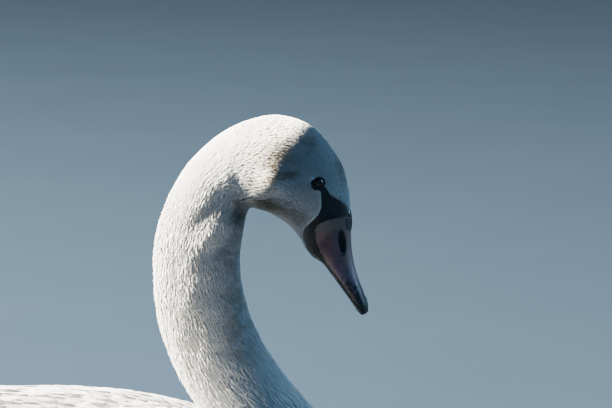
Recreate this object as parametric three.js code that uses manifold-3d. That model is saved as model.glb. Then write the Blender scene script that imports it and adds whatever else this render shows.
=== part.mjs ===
// A mute swan at life size, standing at rest. Its neck is drawn back in a C and the bill points at the ground.
// Millimetres, +Z up, +X the way the breast faces, +Y the bird's left. The origin is on the floor, under the middle
// of the bird's box. Every form is lofted through a few sections. A section is the oval between a point on the
// upper (or front) outline and a point on the under (or back) outline, seen from the side, with half a width.

import * as THREE from "three";
import { mergeVertices } from "three/addons/utils/BufferGeometryUtils.js";
import Module from "manifold-3d";

const wasm = await Module();
wasm.setup();

// ---- driving dimensions -------------------------------------------------------------------------------------

const GAP = 0.35; // clearance between two pieces that meet
const MIDDLE_X = 8.9; // x, in the tables below, that is moved to the origin
const EYE = { x: 333.9, z: 623.3, radius: 6.4, sunk: 4.2 }; // ball, and how far its centre lies under the skin
const LEG_SIDE = 64; // from the bird's middle plane to each leg
const TOE_HEIGHT = 9.5; // height of a toe at its root
const WEB_THICK = 2.2; // height of the web between the toes

// A section: upper point, under point, half width, egg (above 0 is wider near the upper point), square (2 is oval).
const section = (upper, under, half, egg = 0, square = 2) => ({ upper, under, half, egg, square });

const BODY = [
  // head, from the root of the bill to the nape
  section([360.8, 594], [321, 561.5], 17.2, -0.05, 2.2),
  section([359.3, 613], [315.5, 571.5], 20.5, -0.08),
  section([351.5, 639.5], [307, 581.5], 25.5, -0.1),
  section([328, 669], [294.5, 590.5], 30.5, -0.12),
  section([298, 680], [282, 596], 33, -0.1),
  section([268.5, 675], [272.5, 598], 34, -0.04),
  // neck, from the nape to the root of the neck
  section([240, 659.5], [270, 594], 34.5),
  section([215.5, 635], [268, 585], 35.5),
  section([199.5, 606], [266, 572], 36.5),
  section([190.3, 576], [264.4, 558], 37),
  section([187.8, 545], [264.3, 541], 37.5),
  section([189, 514], [267.6, 520], 38),
  section([194.8, 485], [274.5, 498.5], 39),
  section([205, 457.5], [288, 471], 40.5),
  section([217, 433], [305, 447], 43),
  // trunk, from the root of the neck over the breast and belly to the rump
  section([225.5, 417.5], [323, 425], 49),
  section([229, 411.5], [344, 400], 60),
  section([226.5, 411.7], [368, 363], 80, 0.04),
  section([219, 414], [384, 315], 101, 0.06),
  section([206, 415], [382, 262], 117, 0.08),
  section([184, 416], [352, 209], 128, 0.08, 2.05),
  section([146, 416], [288, 168], 135, 0.06, 2.1),
  section([90, 415], [192, 152], 138, 0.03, 2.15),
  section([16, 412], [96, 154], 137, 0, 2.15),
  section([-62, 404], [-8, 170], 128, -0.02, 2.1),
  section([-134, 391], [-96, 195], 112, 0, 2.05),
  section([-194, 374], [-166, 230], 91),
  section([-242, 357], [-226, 265], 66),
  section([-280, 343], [-271, 297], 42),
  section([-302, 334], [-298, 313], 22),
];
// Where the body is parted, as an index into BODY, and how many rings each length has.
const BODY_LENGTHS = [
  { name: "head", from: 0, to: 5, rings: 13, around: 22 },
  { name: "neck_upper", from: 5, to: 8, rings: 8, around: 20 },
  { name: "neck_middle", from: 8, to: 11, rings: 6, around: 20 },
  { name: "neck_lower", from: 11, to: 14, rings: 7, around: 20 },
  { name: "trunk", from: 14, to: 29, rings: 29, around: 28 },
];

const BILL = [
  section([361, 593.5], [321, 561], 17, 0, 2.2),
  section([360.6, 577], [326.8, 555.3], 18.2, -0.2, 2.2),
  section([361.2, 562], [336.2, 549.3], 17, -0.3, 2.3),
  section([363.6, 547], [345, 538], 15.6, -0.2, 2.4),
  section([367.4, 534], [353.4, 526.3], 15.8, 0, 2.5),
  section([371.8, 522.5], [360.6, 516.4], 16.6, 0, 2.5),
  section([374.8, 512.5], [366, 507.8], 15, 0, 2.4),
  section([375.3, 506], [370, 503.4], 10.5, 0, 2.2),
];
const MOUTH = [
  [318, 577],
  [324.5, 572],
  [331, 559],
  [340.5, 546.6],
  [350.6, 533.4],
  [358.6, 522.4],
  [366, 512.4],
  [380, 497],
];
const BILL_RINGS = 12;
const BILL_AROUND = 16;
const NAIL_LENGTH = 13; // how much of the bill's tip the nail covers
const KNOB = [
  section([361, 602], [353, 598], 4),
  section([362.8, 596], [349, 590], 7.2),
  section([363.2, 587], [349, 582], 7.8),
  section([362.3, 577], [352, 574], 5.6),
];

// Folded wing, right side, from the bend at the breast to the tips: x, middle (y, z), half across, half high, and
// lean, the turn in degrees that sets the top of the oval nearer to the back.
const WING = [
  { x: 292, y: -84, z: 312, across: 16, high: 42, lean: 6 },
  { x: 262, y: -84, z: 314, across: 44, high: 74, lean: 8 },
  { x: 212, y: -80, z: 315, across: 65, high: 96, lean: 10 },
  { x: 140, y: -77, z: 317, across: 75, high: 107, lean: 10 },
  { x: 50, y: -76, z: 319, across: 75, high: 106, lean: 8 },
  { x: -40, y: -70, z: 325, across: 68, high: 93, lean: 6 },
  { x: -120, y: -57, z: 334, across: 54, high: 72, lean: 4 },
  { x: -190, y: -39.5, z: 343, across: 37, high: 47, lean: 2 },
  { x: -245, y: -25, z: 349, across: 22.5, high: 27, lean: 0 },
  { x: -290, y: -15, z: 350, across: 13, high: 13, lean: 0 },
  { x: -326, y: -7.5, z: 347, across: 5, high: 4.2, lean: 0 },
];
const WING_RINGS = 21;
const WING_AROUND = 16;
const PRIMARIES_FROM = -150; // x where the long wing tips are parted from the rest of the wing

const TAIL = [
  section([-225, 352], [-215, 300], 56),
  section([-268, 343], [-262, 299], 64),
  section([-305, 334], [-302, 304], 63),
  section([-335, 326], [-333, 307], 54),
  section([-356, 319.5], [-355, 309], 36),
  section([-368, 315.5], [-367.5, 310.5], 15),
];
const TAIL_RINGS = 11;
const TAIL_AROUND = 16;

// A leg, front and back outlines from inside the belly to the foot. The thigh is feathered and the shank is bare.
const LEG = [
  section([136, 214], [6, 202], 48),
  section([112, 178], [6, 163], 39),
  section([84, 148], [8, 139], 25),
  section([62, 127], [13, 122], 13.5),
  section([51, 116], [19, 111.5], 9.6),
  section([47.5, 106], [22.5, 101], 9.2),
  section([45.5, 92], [28, 88.5], 7),
  section([50, 62], [37, 59], 6),
  section([56.5, 34], [42.5, 30], 6.8),
  section([65, 20], [42, 15], 9),
  section([68, 8], [44, 5], 9.4),
  section([68, -3], [44, -5], 9),
];
const THIGH_ENDS = 4;
const SHANK_FOOT = 13; // height at which the shank ends, and the foot begins

// The foot, seen from above with its root at the origin and +X ahead: a toe's turn to the outside in degrees and
// its length without the claw.
const FOOT_ROOT = 52; // x of the foot's root
const TOES = [
  { name: "inner", turn: -27, length: 96 },
  { name: "middle", turn: 0, length: 122 },
  { name: "outer", turn: 25, length: 113 },
];
const HIND_TOE = { x: -1, z: 7.6, length: 22, drop: 14 };
const CLAW_LENGTH = 13;

// ---- making solids ------------------------------------------------------------------------------------------

const between = (a, b, c, d, t) =>
  // Catmull-Rom: a smooth value between b and c, with a and d as their neighbours.
  0.5 * (2 * b + (c - a) * t + (2 * a - 5 * b + 4 * c - d) * t * t + (3 * b - a - 3 * c + d) * t * t * t);

// The section at a fractional index of a list of sections.
function sectionAt(list, index) {
  const last = list.length - 1;
  const i = Math.min(Math.floor(index), last - 1);
  const t = index - i;
  const four = [Math.max(i - 1, 0), i, i + 1, Math.min(i + 2, last)].map((k) => list[k]);
  const blend = (read) => between(...four.map(read), t);
  return {
    upper: [0, 1].map((axis) => blend((s) => s.upper[axis])),
    under: [0, 1].map((axis) => blend((s) => s.under[axis])),
    half: blend((s) => s.half),
    egg: blend((s) => s.egg),
    square: blend((s) => s.square),
  };
}

// The point on a section at an angle, which is 0 at the upper outline and turns to the bird's left.
function onSection(s, angle) {
  const power = 2 / s.square;
  const up = Math.sign(Math.cos(angle)) * Math.abs(Math.cos(angle)) ** power;
  const side = Math.sign(Math.sin(angle)) * Math.abs(Math.sin(angle)) ** power;
  const [x, z] = [0, 1].map((k) => (s.upper[k] + s.under[k]) / 2 + ((s.upper[k] - s.under[k]) / 2) * up);
  return new THREE.Vector3(x, s.half * side * (1 + s.egg * up), z);
}

// A closed geometry from rings of points, with a fan on each end. Each ring turns the same way.
function skinOver(rings) {
  const around = rings[0].length;
  const points = rings.flat();
  const faces = [];
  for (let r = 0; r + 1 < rings.length; r++) {
    for (let k = 0; k < around; k++) {
      const a = r * around + k;
      const b = r * around + ((k + 1) % around);
      faces.push(a, a + around, b, b, a + around, b + around);
    }
  }
  const middle = (ring) => ring.reduce((sum, p) => sum.add(p), new THREE.Vector3()).divideScalar(ring.length);
  const first = points.push(middle(rings[0])) - 1;
  const last = points.push(middle(rings.at(-1))) - 1;
  const end = (rings.length - 1) * around;
  for (let k = 0; k < around; k++) {
    faces.push(first, k, (k + 1) % around);
    faces.push(last, end + ((k + 1) % around), end + k);
  }
  return new THREE.BufferGeometry().setFromPoints(points).setIndex(faces);
}

// A geometry lofted through part of a list of sections.
function loft(list, ringCount, around, from = 0, to = list.length - 1) {
  const rings = [];
  for (let r = 0; r < ringCount; r++) {
    const s = sectionAt(list, from + ((to - from) * r) / (ringCount - 1));
    rings.push(Array.from({ length: around }, (_, k) => onSection(s, (2 * Math.PI * k) / around)));
  }
  return skinOver(rings);
}

// A closed geometry as a manifold-3d solid, facing out.
function solid(geometry) {
  const plain = new THREE.BufferGeometry();
  plain.setAttribute("position", geometry.getAttribute("position"));
  plain.setIndex(geometry.index);
  const merged = mergeVertices(plain, 1e-4);
  const triVerts = new Uint32Array(merged.index.array);
  const vertProperties = new Float32Array(merged.attributes.position.array);
  const make = () => new wasm.Manifold(new wasm.Mesh({ numProp: 3, vertProperties, triVerts }));
  const made = make();
  if (made.volume() > 0) return made;
  for (let i = 0; i < triVerts.length; i += 3) [triVerts[i], triVerts[i + 1]] = [triVerts[i + 1], triVerts[i]];
  return make();
}

// The largest body of a solid, as a geometry. A cut can leave slivers, and they are dropped.
function geometryOf(made) {
  const bodies = made.decompose().sort((a, b) => b.volume() - a.volume());
  const mesh = bodies[0].getMesh();
  const geometry = new THREE.BufferGeometry();
  geometry.setAttribute("position", new THREE.BufferAttribute(new Float32Array(mesh.vertProperties), 3));
  geometry.setIndex(new THREE.BufferAttribute(new Uint32Array(mesh.triVerts), 1));
  return geometry;
}

// A box as a solid, from its low and high corners.
function block(low, high) {
  const size = high.map((v, k) => v - low[k]);
  return solid(new THREE.BoxGeometry(...size).translate(...low.map((v, k) => v + size[k] / 2)));
}

// The point on the right side of a loft that a look from the side meets at x, z, and the way its face looks.
function seatOnSide(list, x, z) {
  const steps = 240;
  let best = { off: Infinity };
  for (let i = 0; i <= steps; i++) {
    const s = sectionAt(list, ((list.length - 1) * i) / steps);
    for (let k = 0; k <= steps; k++) {
      const p = onSection(s, Math.PI + (Math.PI * k) / steps);
      const off = Math.hypot(p.x - x, p.z - z);
      if (off < best.off) best = { off, p, index: ((list.length - 1) * i) / steps, angle: Math.PI * (1 + k / steps) };
    }
  }
  const step = 0.02;
  const along = onSection(sectionAt(list, best.index + step), best.angle).sub(best.p);
  const round = onSection(sectionAt(list, best.index), best.angle + step).sub(best.p);
  const normal = along.cross(round).normalize();
  return { point: best.p, normal: normal.y > 0 ? normal.negate() : normal };
}

// ---- pieces -------------------------------------------------------------------------------------------------

const group = new THREE.Group();
const finish = (name, color, roughness) => new THREE.MeshStandardMaterial({ name, color, roughness, metalness: 0 });
const PLUMAGE = finish("plumage", 0xeeece6, 0.85);
const BILL_SKIN = finish("bill", 0xa5786f, 0.45);
const BLACK_SKIN = finish("black_skin", 0x16161a, 0.5);
const LEG_SKIN = finish("leg_skin", 0x26262a, 0.6);
const CLAW = finish("claw", 0x141416, 0.4);
const EYE_BALL = finish("eye", 0x1c0f0a, 0.08);

function add(name, made, material) {
  const mesh = new THREE.Mesh(geometryOf(made.translate([-MIDDLE_X, 0, 0])), material);
  mesh.name = name;
  group.add(mesh);
}

const mirrored = (made) => made.mirror([0, 1, 0]);

// A pair of pieces, the right one given and the left one its mirror image, each cut to fit its own neighbours.
function addPair(name, right, material, cut = (made) => made) {
  add(name + "_right", cut(right), material);
  add(name + "_left", cut(mirrored(right)), material);
}

// The clearance at a parting, as a share of an index, so that the two faces stand at least GAP apart.
function partingStep(list, index) {
  const near = sectionAt(list, index);
  const far = sectionAt(list, index + 0.01);
  const travel = ["upper", "under"].map((side) => Math.hypot(...[0, 1].map((k) => far[side][k] - near[side][k])));
  return (0.01 * GAP) / Math.min(...travel);
}

// One length of the body, as it is or swollen, by its name.
function bodyLength(name, make = (...given) => solid(loft(...given))) {
  const { from, to, rings, around } = BODY_LENGTHS.find((length) => length.name === name);
  const start = from === 0 ? 0 : from + partingStep(BODY, from);
  return make(BODY, rings, around, start, to);
}

// A piece a little swollen, with the same rings, to cut the room that it needs out of its neighbours. Its last ring
// also moves back by the clearance.
function swollen(list, ringCount, around, from = 0, to = list.length - 1) {
  const bigger = list.map((s, i) => {
    const length = Math.hypot(s.upper[0] - s.under[0], s.upper[1] - s.under[1]);
    const back = i === list.length - 1 ? GAP : 0;
    const grow = (a, b) => a.map((v, k) => v + ((v - b[k]) / length) * GAP - (k === 0 ? back : 0));
    return { ...s, upper: grow(s.upper, s.under), under: grow(s.under, s.upper), half: s.half + GAP };
  });
  return solid(loft(bigger, ringCount, around, from, to));
}

function eyeBall(grow = 0) {
  const seat = seatOnSide(BODY.slice(0, 6), EYE.x, EYE.z);
  const centre = seat.point.addScaledVector(seat.normal, -EYE.sunk);
  return solid(new THREE.SphereGeometry(EYE.radius + grow, 12, 8).translate(centre.x, centre.y, centre.z));
}

function billPieces() {
  const whole = solid(loft(BILL, BILL_RINGS, BILL_AROUND));
  // The mouth is a thin curved wall, as high as GAP, right through the bill.
  const outline = new THREE.Shape(MOUTH.map(([x, z]) => new THREE.Vector2(x + GAP / 2, z + GAP / 2)));
  for (const [x, z] of [...MOUTH].reverse()) outline.lineTo(x - GAP / 2, z - GAP / 2);
  const wall = new THREE.ExtrudeGeometry(outline, { depth: 60, bevelEnabled: false }).rotateX(Math.PI / 2);
  const parts = whole
    .subtract(solid(wall.translate(0, 30, 0)))
    .decompose()
    .sort((a, b) => b.volume() - a.volume());
  const [upper, lower] = parts;
  // The nail is the tip of the upper bill beyond a plane square to the bill.
  const tip = new THREE.Vector3(372.6, 0, 504.6);
  const axis = new THREE.Vector3(0.36, 0, -0.933).normalize();
  const slab = (start, length) => {
    const geometry = new THREE.BoxGeometry(80, 80, length).translate(0, 0, length / 2);
    geometry.applyQuaternion(new THREE.Quaternion().setFromUnitVectors(new THREE.Vector3(0, 0, 1), axis));
    const at = tip.clone().addScaledVector(axis, start);
    return solid(geometry.translate(at.x, at.y, at.z));
  };
  return {
    upper: upper.subtract(slab(-NAIL_LENGTH, 40)),
    nail: upper.intersect(slab(GAP - NAIL_LENGTH, 40)),
    lower,
  };
}

// A ring of the folded wing at a fractional index of WING.
function wingRing(index) {
  const last = WING.length - 1;
  const i = Math.min(Math.floor(index), last - 1);
  const four = [Math.max(i - 1, 0), i, i + 1, Math.min(i + 2, last)].map((k) => WING[k]);
  const read = (key) => between(...four.map((w) => w[key]), index - i);
  const lean = THREE.MathUtils.degToRad(read("lean"));
  return Array.from({ length: WING_AROUND }, (_, k) => {
    const angle = (2 * Math.PI * k) / WING_AROUND;
    const across = read("across") * Math.sin(angle);
    const high = read("high") * Math.cos(angle);
    const y = read("y") + across * Math.cos(lean) + high * Math.sin(lean);
    const z = read("z") - across * Math.sin(lean) + high * Math.cos(lean);
    return new THREE.Vector3(read("x"), Math.min(y, -GAP / 2), z);
  });
}

function wing() {
  const last = WING.length - 1;
  return solid(skinOver(Array.from({ length: WING_RINGS }, (_, r) => wingRing((last * r) / (WING_RINGS - 1)))));
}

// A tapered toe or claw along +X: half height and half width at the root and at the tip, arched by `arch`.
function taper(length, root, tip, arch, rings = 6, around = 10) {
  return skinOver(
    Array.from({ length: rings }, (_, r) => {
      const t = r / (rings - 1);
      const [high, wide] = [0, 1].map((k) => root[k] + (tip[k] - root[k]) * t);
      return Array.from({ length: around }, (_, k) => {
        const angle = (2 * Math.PI * k) / around;
        return new THREE.Vector3(
          length * t,
          wide * Math.sin(angle),
          high * Math.cos(angle) + arch * Math.sin(Math.PI * t),
        );
      });
    }),
  );
}

// Part of the right leg, from its table.
const legPart = (from, to, rings, around) => solid(loft(LEG, rings, around, from, to)).translate([0, -LEG_SIDE, 0]);
const wholeShank = () => legPart(THIGH_ENDS + partingStep(LEG, THIGH_ENDS), LEG.length - 1, 12, 10);

const turned = (geometry, degrees) => geometry.rotateZ(THREE.MathUtils.degToRad(-degrees));

// The right foot: the toes and the web between them, flat underneath, and a claw for each toe.
function foot() {
  const reach = (toe, share) => {
    const turn = THREE.MathUtils.degToRad(toe.turn);
    return [toe.length * share * Math.cos(turn), -toe.length * share * Math.sin(turn)];
  };
  const [inner, middle, outer] = TOES;
  const web = new THREE.Shape();
  web.moveTo(-6, -6);
  web.lineTo(...reach(outer, 0.97));
  web.quadraticCurveTo(...reach({ turn: 13, length: 104 }, 1), ...reach(middle, 0.97));
  web.quadraticCurveTo(...reach({ turn: -13, length: 98 }, 1), ...reach(inner, 0.97));
  web.lineTo(-6, 6);
  const pieces = [solid(new THREE.ExtrudeGeometry(web, { depth: WEB_THICK, bevelEnabled: false, curveSegments: 5 }))];
  const claws = {};
  for (const toe of TOES) {
    const rise = 0.32 * TOE_HEIGHT;
    const ray = taper(toe.length, [TOE_HEIGHT - rise, 7], [4.2, 4.4], 0, 3, 8).translate(0, 0, rise);
    pieces.push(solid(turned(ray, toe.turn)));
    const claw = taper(CLAW_LENGTH, [2.7, 2.5], [0.5, 0.6], 0.9, 4, 8);
    claw.applyMatrix4(new THREE.Matrix4().makeShear(0, -0.19, 0, 0, 0, 0)); // the tip runs down to the floor
    claws[toe.name] = solid(turned(claw.translate(toe.length + GAP, 0, 3.3), toe.turn));
  }
  const drop = THREE.MathUtils.degToRad(HIND_TOE.drop);
  const hind = (geometry) => turned(geometry.rotateY(drop), 180).translate(HIND_TOE.x, 0, HIND_TOE.z);
  pieces.push(solid(hind(taper(HIND_TOE.length, [4.4, 4.2], [2.6, 2.4], 0, 3, 8))));
  claws.hind = solid(hind(taper(7, [1.9, 1.8], [0.5, 0.5], 0, 3, 8).translate(HIND_TOE.length + GAP, 0, 0)));
  const under = block([-100, -250, -50], [300, 100, 0]);
  const place = (made) => made.translate([FOOT_ROOT, -LEG_SIDE, 0]).subtract(under);
  const ankle = wholeShank().intersect(block([0, -200, 0], [200, 0, SHANK_FOOT - GAP]));
  return {
    foot: place(pieces.reduce((sum, piece) => sum.add(piece))).add(ankle),
    claws: Object.fromEntries(Object.entries(claws).map(([name, made]) => [name, place(made)])),
  };
}

// ---- the bird -----------------------------------------------------------------------------------------------

const trunkRoom = bodyLength("trunk", swollen);
const headRoom = bodyLength("head", swollen);

const { upper, nail, lower } = billPieces();
const eye = eyeBall();
const eyeRoom = eyeBall(GAP);
add("head", bodyLength("head").subtract(eyeRoom).subtract(mirrored(eyeRoom)), PLUMAGE);
for (const name of ["neck_upper", "neck_middle", "neck_lower", "trunk"]) add(name, bodyLength(name), PLUMAGE);
addPair("eye", eye, EYE_BALL);

const billRoom = swollen(BILL, BILL_RINGS, BILL_AROUND);
const offTheHead = (made) => made.subtract(headRoom);
add("bill_upper", offTheHead(upper), BILL_SKIN);
add("bill_nail", nail, BLACK_SKIN);
add("bill_lower", offTheHead(lower), BLACK_SKIN);
add("bill_knob", offTheHead(solid(loft(KNOB, 7, 12))).subtract(billRoom), BLACK_SKIN);

const offTheTrunk = (made) => made.subtract(trunkRoom);
const lengthOfWing = (low, high) => wing().intersect(block([low, -300, 0], [high, 0, 600]));
addPair("wing", lengthOfWing(PRIMARIES_FROM, 400), PLUMAGE, offTheTrunk);
const tailRoom = swollen(TAIL, TAIL_RINGS, TAIL_AROUND);
const offTheRump = (made) => offTheTrunk(made).subtract(tailRoom);
addPair("primaries", lengthOfWing(-400, PRIMARIES_FROM - GAP), PLUMAGE, offTheRump);
add("tail", solid(loft(TAIL, TAIL_RINGS, TAIL_AROUND)).subtract(trunkRoom), PLUMAGE);

addPair("thigh", legPart(0, THIGH_ENDS, 7, 12), PLUMAGE, offTheTrunk);
addPair("shank", wholeShank().subtract(block([0, -200, -50], [200, 0, SHANK_FOOT])), LEG_SKIN);
const { foot: rightFoot, claws } = foot();
addPair("foot", rightFoot, LEG_SKIN);
for (const [name, made] of Object.entries(claws)) addPair("claw_" + name, made, CLAW);

export default group;
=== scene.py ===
"""The looks of a mute swan at life size: a skin, horn, eyes, claws and a coat of feathers.

Tables are in millimetres, with x towards the bird's front, y to its left and z up from the floor, and repeat
the solids' own sections. The part's origin is at x = MIDDLE_X in them. Every shape is a function of two
parameters on a grid, and nodes work in metres.
"""

import math

import bpy
import numpy as np
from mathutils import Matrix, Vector


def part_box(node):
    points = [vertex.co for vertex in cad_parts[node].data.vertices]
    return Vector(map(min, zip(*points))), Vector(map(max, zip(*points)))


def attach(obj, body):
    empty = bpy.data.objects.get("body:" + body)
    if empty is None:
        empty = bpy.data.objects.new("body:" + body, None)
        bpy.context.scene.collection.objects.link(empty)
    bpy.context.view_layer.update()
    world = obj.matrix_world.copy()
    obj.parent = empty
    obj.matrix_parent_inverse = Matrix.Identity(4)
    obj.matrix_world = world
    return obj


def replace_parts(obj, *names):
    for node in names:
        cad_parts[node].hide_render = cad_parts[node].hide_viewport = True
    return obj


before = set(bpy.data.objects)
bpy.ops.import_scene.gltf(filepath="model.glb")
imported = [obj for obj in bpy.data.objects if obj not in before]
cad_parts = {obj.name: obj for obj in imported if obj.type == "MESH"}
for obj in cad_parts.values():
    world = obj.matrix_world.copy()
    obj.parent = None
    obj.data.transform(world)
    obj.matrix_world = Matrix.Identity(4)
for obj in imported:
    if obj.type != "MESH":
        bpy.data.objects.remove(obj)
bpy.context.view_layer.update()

MIDDLE_X = 8.9
MM = 0.001
TURN = 2 * math.pi
RELIEF_START = 12  # the relief of the face is full from this far off the middle plane
WING_CLEAR = 0.4  # a wing stays this far from the middle plane
GOLDEN = (0.7548776662466927, 0.5698402909980532)  # steps of the plane's low-discrepancy row of numbers

# ---- tables --------------------------------------------------------------------------------------
# A section: upper (or front) point x, z, under (or back) point x, z, half width, egg, squareness.

BODY = [
    (360.8, 594, 321, 561.5, 17.2, -0.05, 2.2),
    (359.3, 613, 315.5, 571.5, 20.5, -0.08, 2),
    (351.5, 639.5, 307, 581.5, 25.5, -0.1, 2),
    (328, 669, 294.5, 590.5, 30.5, -0.12, 2),
    (298, 680, 282, 596, 33, -0.1, 2),
    (268.5, 675, 272.5, 598, 34, -0.04, 2),
    (240, 659.5, 270, 594, 34.5, 0, 2),
    (215.5, 635, 268, 585, 35.5, 0, 2),
    (199.5, 606, 266, 572, 36.5, 0, 2),
    (190.3, 576, 264.4, 558, 37, 0, 2),
    (187.8, 545, 264.3, 541, 37.5, 0, 2),
    (189, 514, 267.6, 520, 38, 0, 2),
    (194.8, 485, 274.5, 498.5, 39, 0, 2),
    (205, 457.5, 288, 471, 40.5, 0, 2),
    (217, 433, 305, 447, 43, 0, 2),
    (225.5, 417.5, 323, 425, 49, 0, 2),
    (229, 411.5, 344, 400, 60, 0, 2),
    (226.5, 411.7, 368, 363, 80, 0.04, 2),
    (219, 414, 384, 315, 101, 0.06, 2),
    (206, 415, 382, 262, 117, 0.08, 2),
    (184, 416, 352, 209, 128, 0.08, 2.05),
    (146, 416, 288, 168, 135, 0.06, 2.1),
    (90, 415, 192, 152, 138, 0.03, 2.15),
    (16, 412, 96, 154, 137, 0, 2.15),
    (-62, 404, -8, 170, 128, -0.02, 2.1),
    (-134, 391, -96, 195, 112, 0, 2.05),
    (-194, 374, -166, 230, 91, 0, 2),
    (-242, 357, -226, 265, 66, 0, 2),
    (-280, 343, -271, 297, 42, 0, 2),
    (-302, 334, -298, 313, 22, 0, 2),
]
BILL = [
    (360.6, 577, 326.8, 555.3, 18.2, -0.2, 2.2),
    (361.2, 562, 336.2, 549.3, 17, -0.3, 2.3),
    (363.6, 547, 345, 538, 15.6, -0.2, 2.4),
    (367.4, 534, 353.4, 526.3, 15.8, 0, 2.5),
    (371.8, 522.5, 360.6, 516.4, 16.6, 0, 2.5),
    (374.8, 512.5, 366, 507.8, 15, 0, 2.4),
    (375.3, 506, 370, 503.4, 10.5, 0, 2.2),
]
FACE = [BODY[2], BODY[1], BODY[0], *BILL]  # one loft from the brow to the tip of the bill
MOUTH = [  # the line of the shut mouth as x, z
    (318, 577), (324.5, 572), (331, 559), (340.5, 546.6),
    (350.6, 533.4), (358.6, 522.4), (366, 512.4), (380, 497),
]
KNOB = [
    (360.2, 597, 354, 594, 3.8, 0, 2),
    (361.4, 592, 352, 588, 6.6, 0, 2),
    (362.0, 585, 352, 581.5, 6.8, 0, 2),
    (361.4, 578.5, 354, 575.5, 4.6, 0, 2),
]
TAIL = [
    (-225, 352, -215, 300, 56, 0, 2),
    (-268, 343, -262, 299, 64, 0, 2),
    (-305, 334, -302, 304, 63, 0, 2),
    (-335, 326, -333, 307, 54, 0, 2),
    (-356, 319.5, -355, 309, 36, 0, 2),
    (-368, 315.5, -367.5, 310.5, 15, 0, 2),
]
LEG = [
    (136, 214, 6, 202, 48, 0, 2),
    (112, 178, 6, 163, 39, 0, 2),
    (84, 148, 8, 139, 25, 0, 2),
    (62, 127, 13, 122, 13.5, 0, 2),
    (51, 116, 19, 111.5, 9.6, 0, 2),
    (47.5, 106, 22.5, 101, 9.2, 0, 2),
    (45.5, 92, 28, 88.5, 7, 0, 2),
    (50, 62, 37, 59, 6, 0, 2),
    (56.5, 34, 42.5, 30, 6.8, 0, 2),
    (65, 20, 42, 15, 9, 0, 2),
    (68, 8, 44, 5, 9.4, 0, 2),
]
LEG_SIDE = 64  # millimetres from the bird's middle plane to the middle of a leg
# Folded right wing: x, middle y and z, half across, half high, lean in degrees.
WING = [
    (292, -84, 312, 16, 42, 6),
    (262, -84, 314, 44, 74, 8),
    (212, -80, 315, 65, 96, 10),
    (140, -77, 317, 75, 107, 10),
    (50, -76, 319, 75, 106, 8),
    (-40, -70, 325, 68, 93, 6),
    (-120, -57, 334, 54, 72, 4),
    (-190, -39.5, 343, 37, 47, 2),
    (-245, -25, 349, 22.5, 27, 0),
    (-290, -15, 350, 13, 13, 0),
    (-326, -7.5, 347, 5, 4.2, 0),
]
FOOT = (52 - MIDDLE_X, -LEG_SIDE)  # where the toes and webs of the right foot meet, from the origin
TOE_JOINTS = (0.34, 0.64, 0.9)  # shares of a toe's length
WEB_FOLDS = 5
TOES = [("inner", -27, 96), ("middle", 0, 122), ("outer", 25, 113)]  # name, turn outwards in degrees, length
EYE_SIDE = (332.6, 620.6)  # the eye seen from the side, as x, z
HEAD_END, NECK_END, RUMP = 5, 14, 29  # sections of BODY where the head, the neck and the body end
FLANK = 6  # what is on the head's side stands at least this far off the middle plane

# Where the bare black skin of the face starts: the upper edge as x, z, and the rear edge as z, x.
LORES_UPPER = [
    (337, 618.5), (344, 610.2), (351, 605.6), (356.5, 600.6),
    (358.4, 597), (359.3, 592), (362, 588), (366, 586),
]
LORES_REAR = [
    (560, 322), (572, 318.6), (579, 319.5), (582.6, 321.3), (588.9, 327.4),
    (594.4, 332.7), (600.8, 335.4), (616.8, 335.4), (619.5, 339), (622, 400),
]
# The edge of the horn of the upper bill against that skin, as x, z: steep up to HORN_CORNER, then flat.
HORN_EDGE = [
    (322, 560), (326.5, 572), (327.6, 580), (331, 586.4),
    (336, 589.2), (342.4, 591.2), (350, 592.2), (355, 592.2), (362, 590),
]
HORN_CORNER = 3
NOSTRIL = (352.9, 568.4, 13.2, 3.8, -85)  # as x, z, reach along and across, turn
BLACK_RIM = [9, 7, 3.0, 3.4, 5.0, 5.2, 4.6, 3.4, 2.4, 2.4]  # width of the black over the mouth, by section
NARROW = np.array([1, 0.94, 1])  # the lower bill against the upper
# Forms of the head and upper neck as sideways bells: height, middle x and z, reach along and across, turn.
FACE_FORMS = [
    (1.0, 330, 634, 9, 5, 30),  # brow
    (-0.9, 345, 603, 8, 5, -35),  # dip at the rear of the bare skin
    (5.4, 290, 620, 20, 18, 0),  # cheek
    (1.4, 304, 600, 14, 9, -25),  # jaw
    (-1.0, 311, 630, 7, 9, 0),  # temple
    (-1.4, 259, 618, 5, 13, 0),  # crease behind the cheek
    (-2.4, 245, 624, 15, 14, 0),  # side of the nape
    (5.8, 272.5, 606, 9, 9.5, 0),  # lobe of the cheek, rear half
    (4.0, 284, 603, 9, 8.5, 0),  # lobe of the cheek, front half
    (-8.0, 264, 595, 8.0, 9, 25),  # hollow behind the jaw
    (2.8, 243, 584, 25, 6.0, 47),  # fold that slants from the hollow
    (-2.2, 236, 600, 19, 6, 47),  # furrow over that fold
    (-3.2, 250, 566, 22, 6, 47),  # furrow under that fold
    (1.8, 230, 540, 26, 6, 60),  # lower fold
]
# The coat's depth over the skin at each section of the tables above.
COAT_DEPTH = [
    0.6, 0.9, 1.2, 1.4, 1.6, 1.8, 2.0, 2.2, 2.4, 2.6, 2.8, 3.0, 3.2, 3.4, 3.6,
    3.8, 4.0, 4.2, 4.4, 4.6, 4.6, 4.6, 4.6, 4.6, 4.6, 4.4, 4.2, 4, 3.6, 3,
]
WING_DEPTH = [4, 4.4, 4.4, 4.2, 3.8, 3.4, 3, 2.6, 2.2, 1.8, 0.9]
TAIL_DEPTH = [6, 5, 3.2, 1.5, 0.7, 0.4]
LEG_DEPTH = [6, 6, 4.5, 2.2, 0.6, 0.2, 0.2, 0.2, 0.2, 0.2, 0.2]


# ---- surfaces ------------------------------------------------------------------------------------

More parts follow.
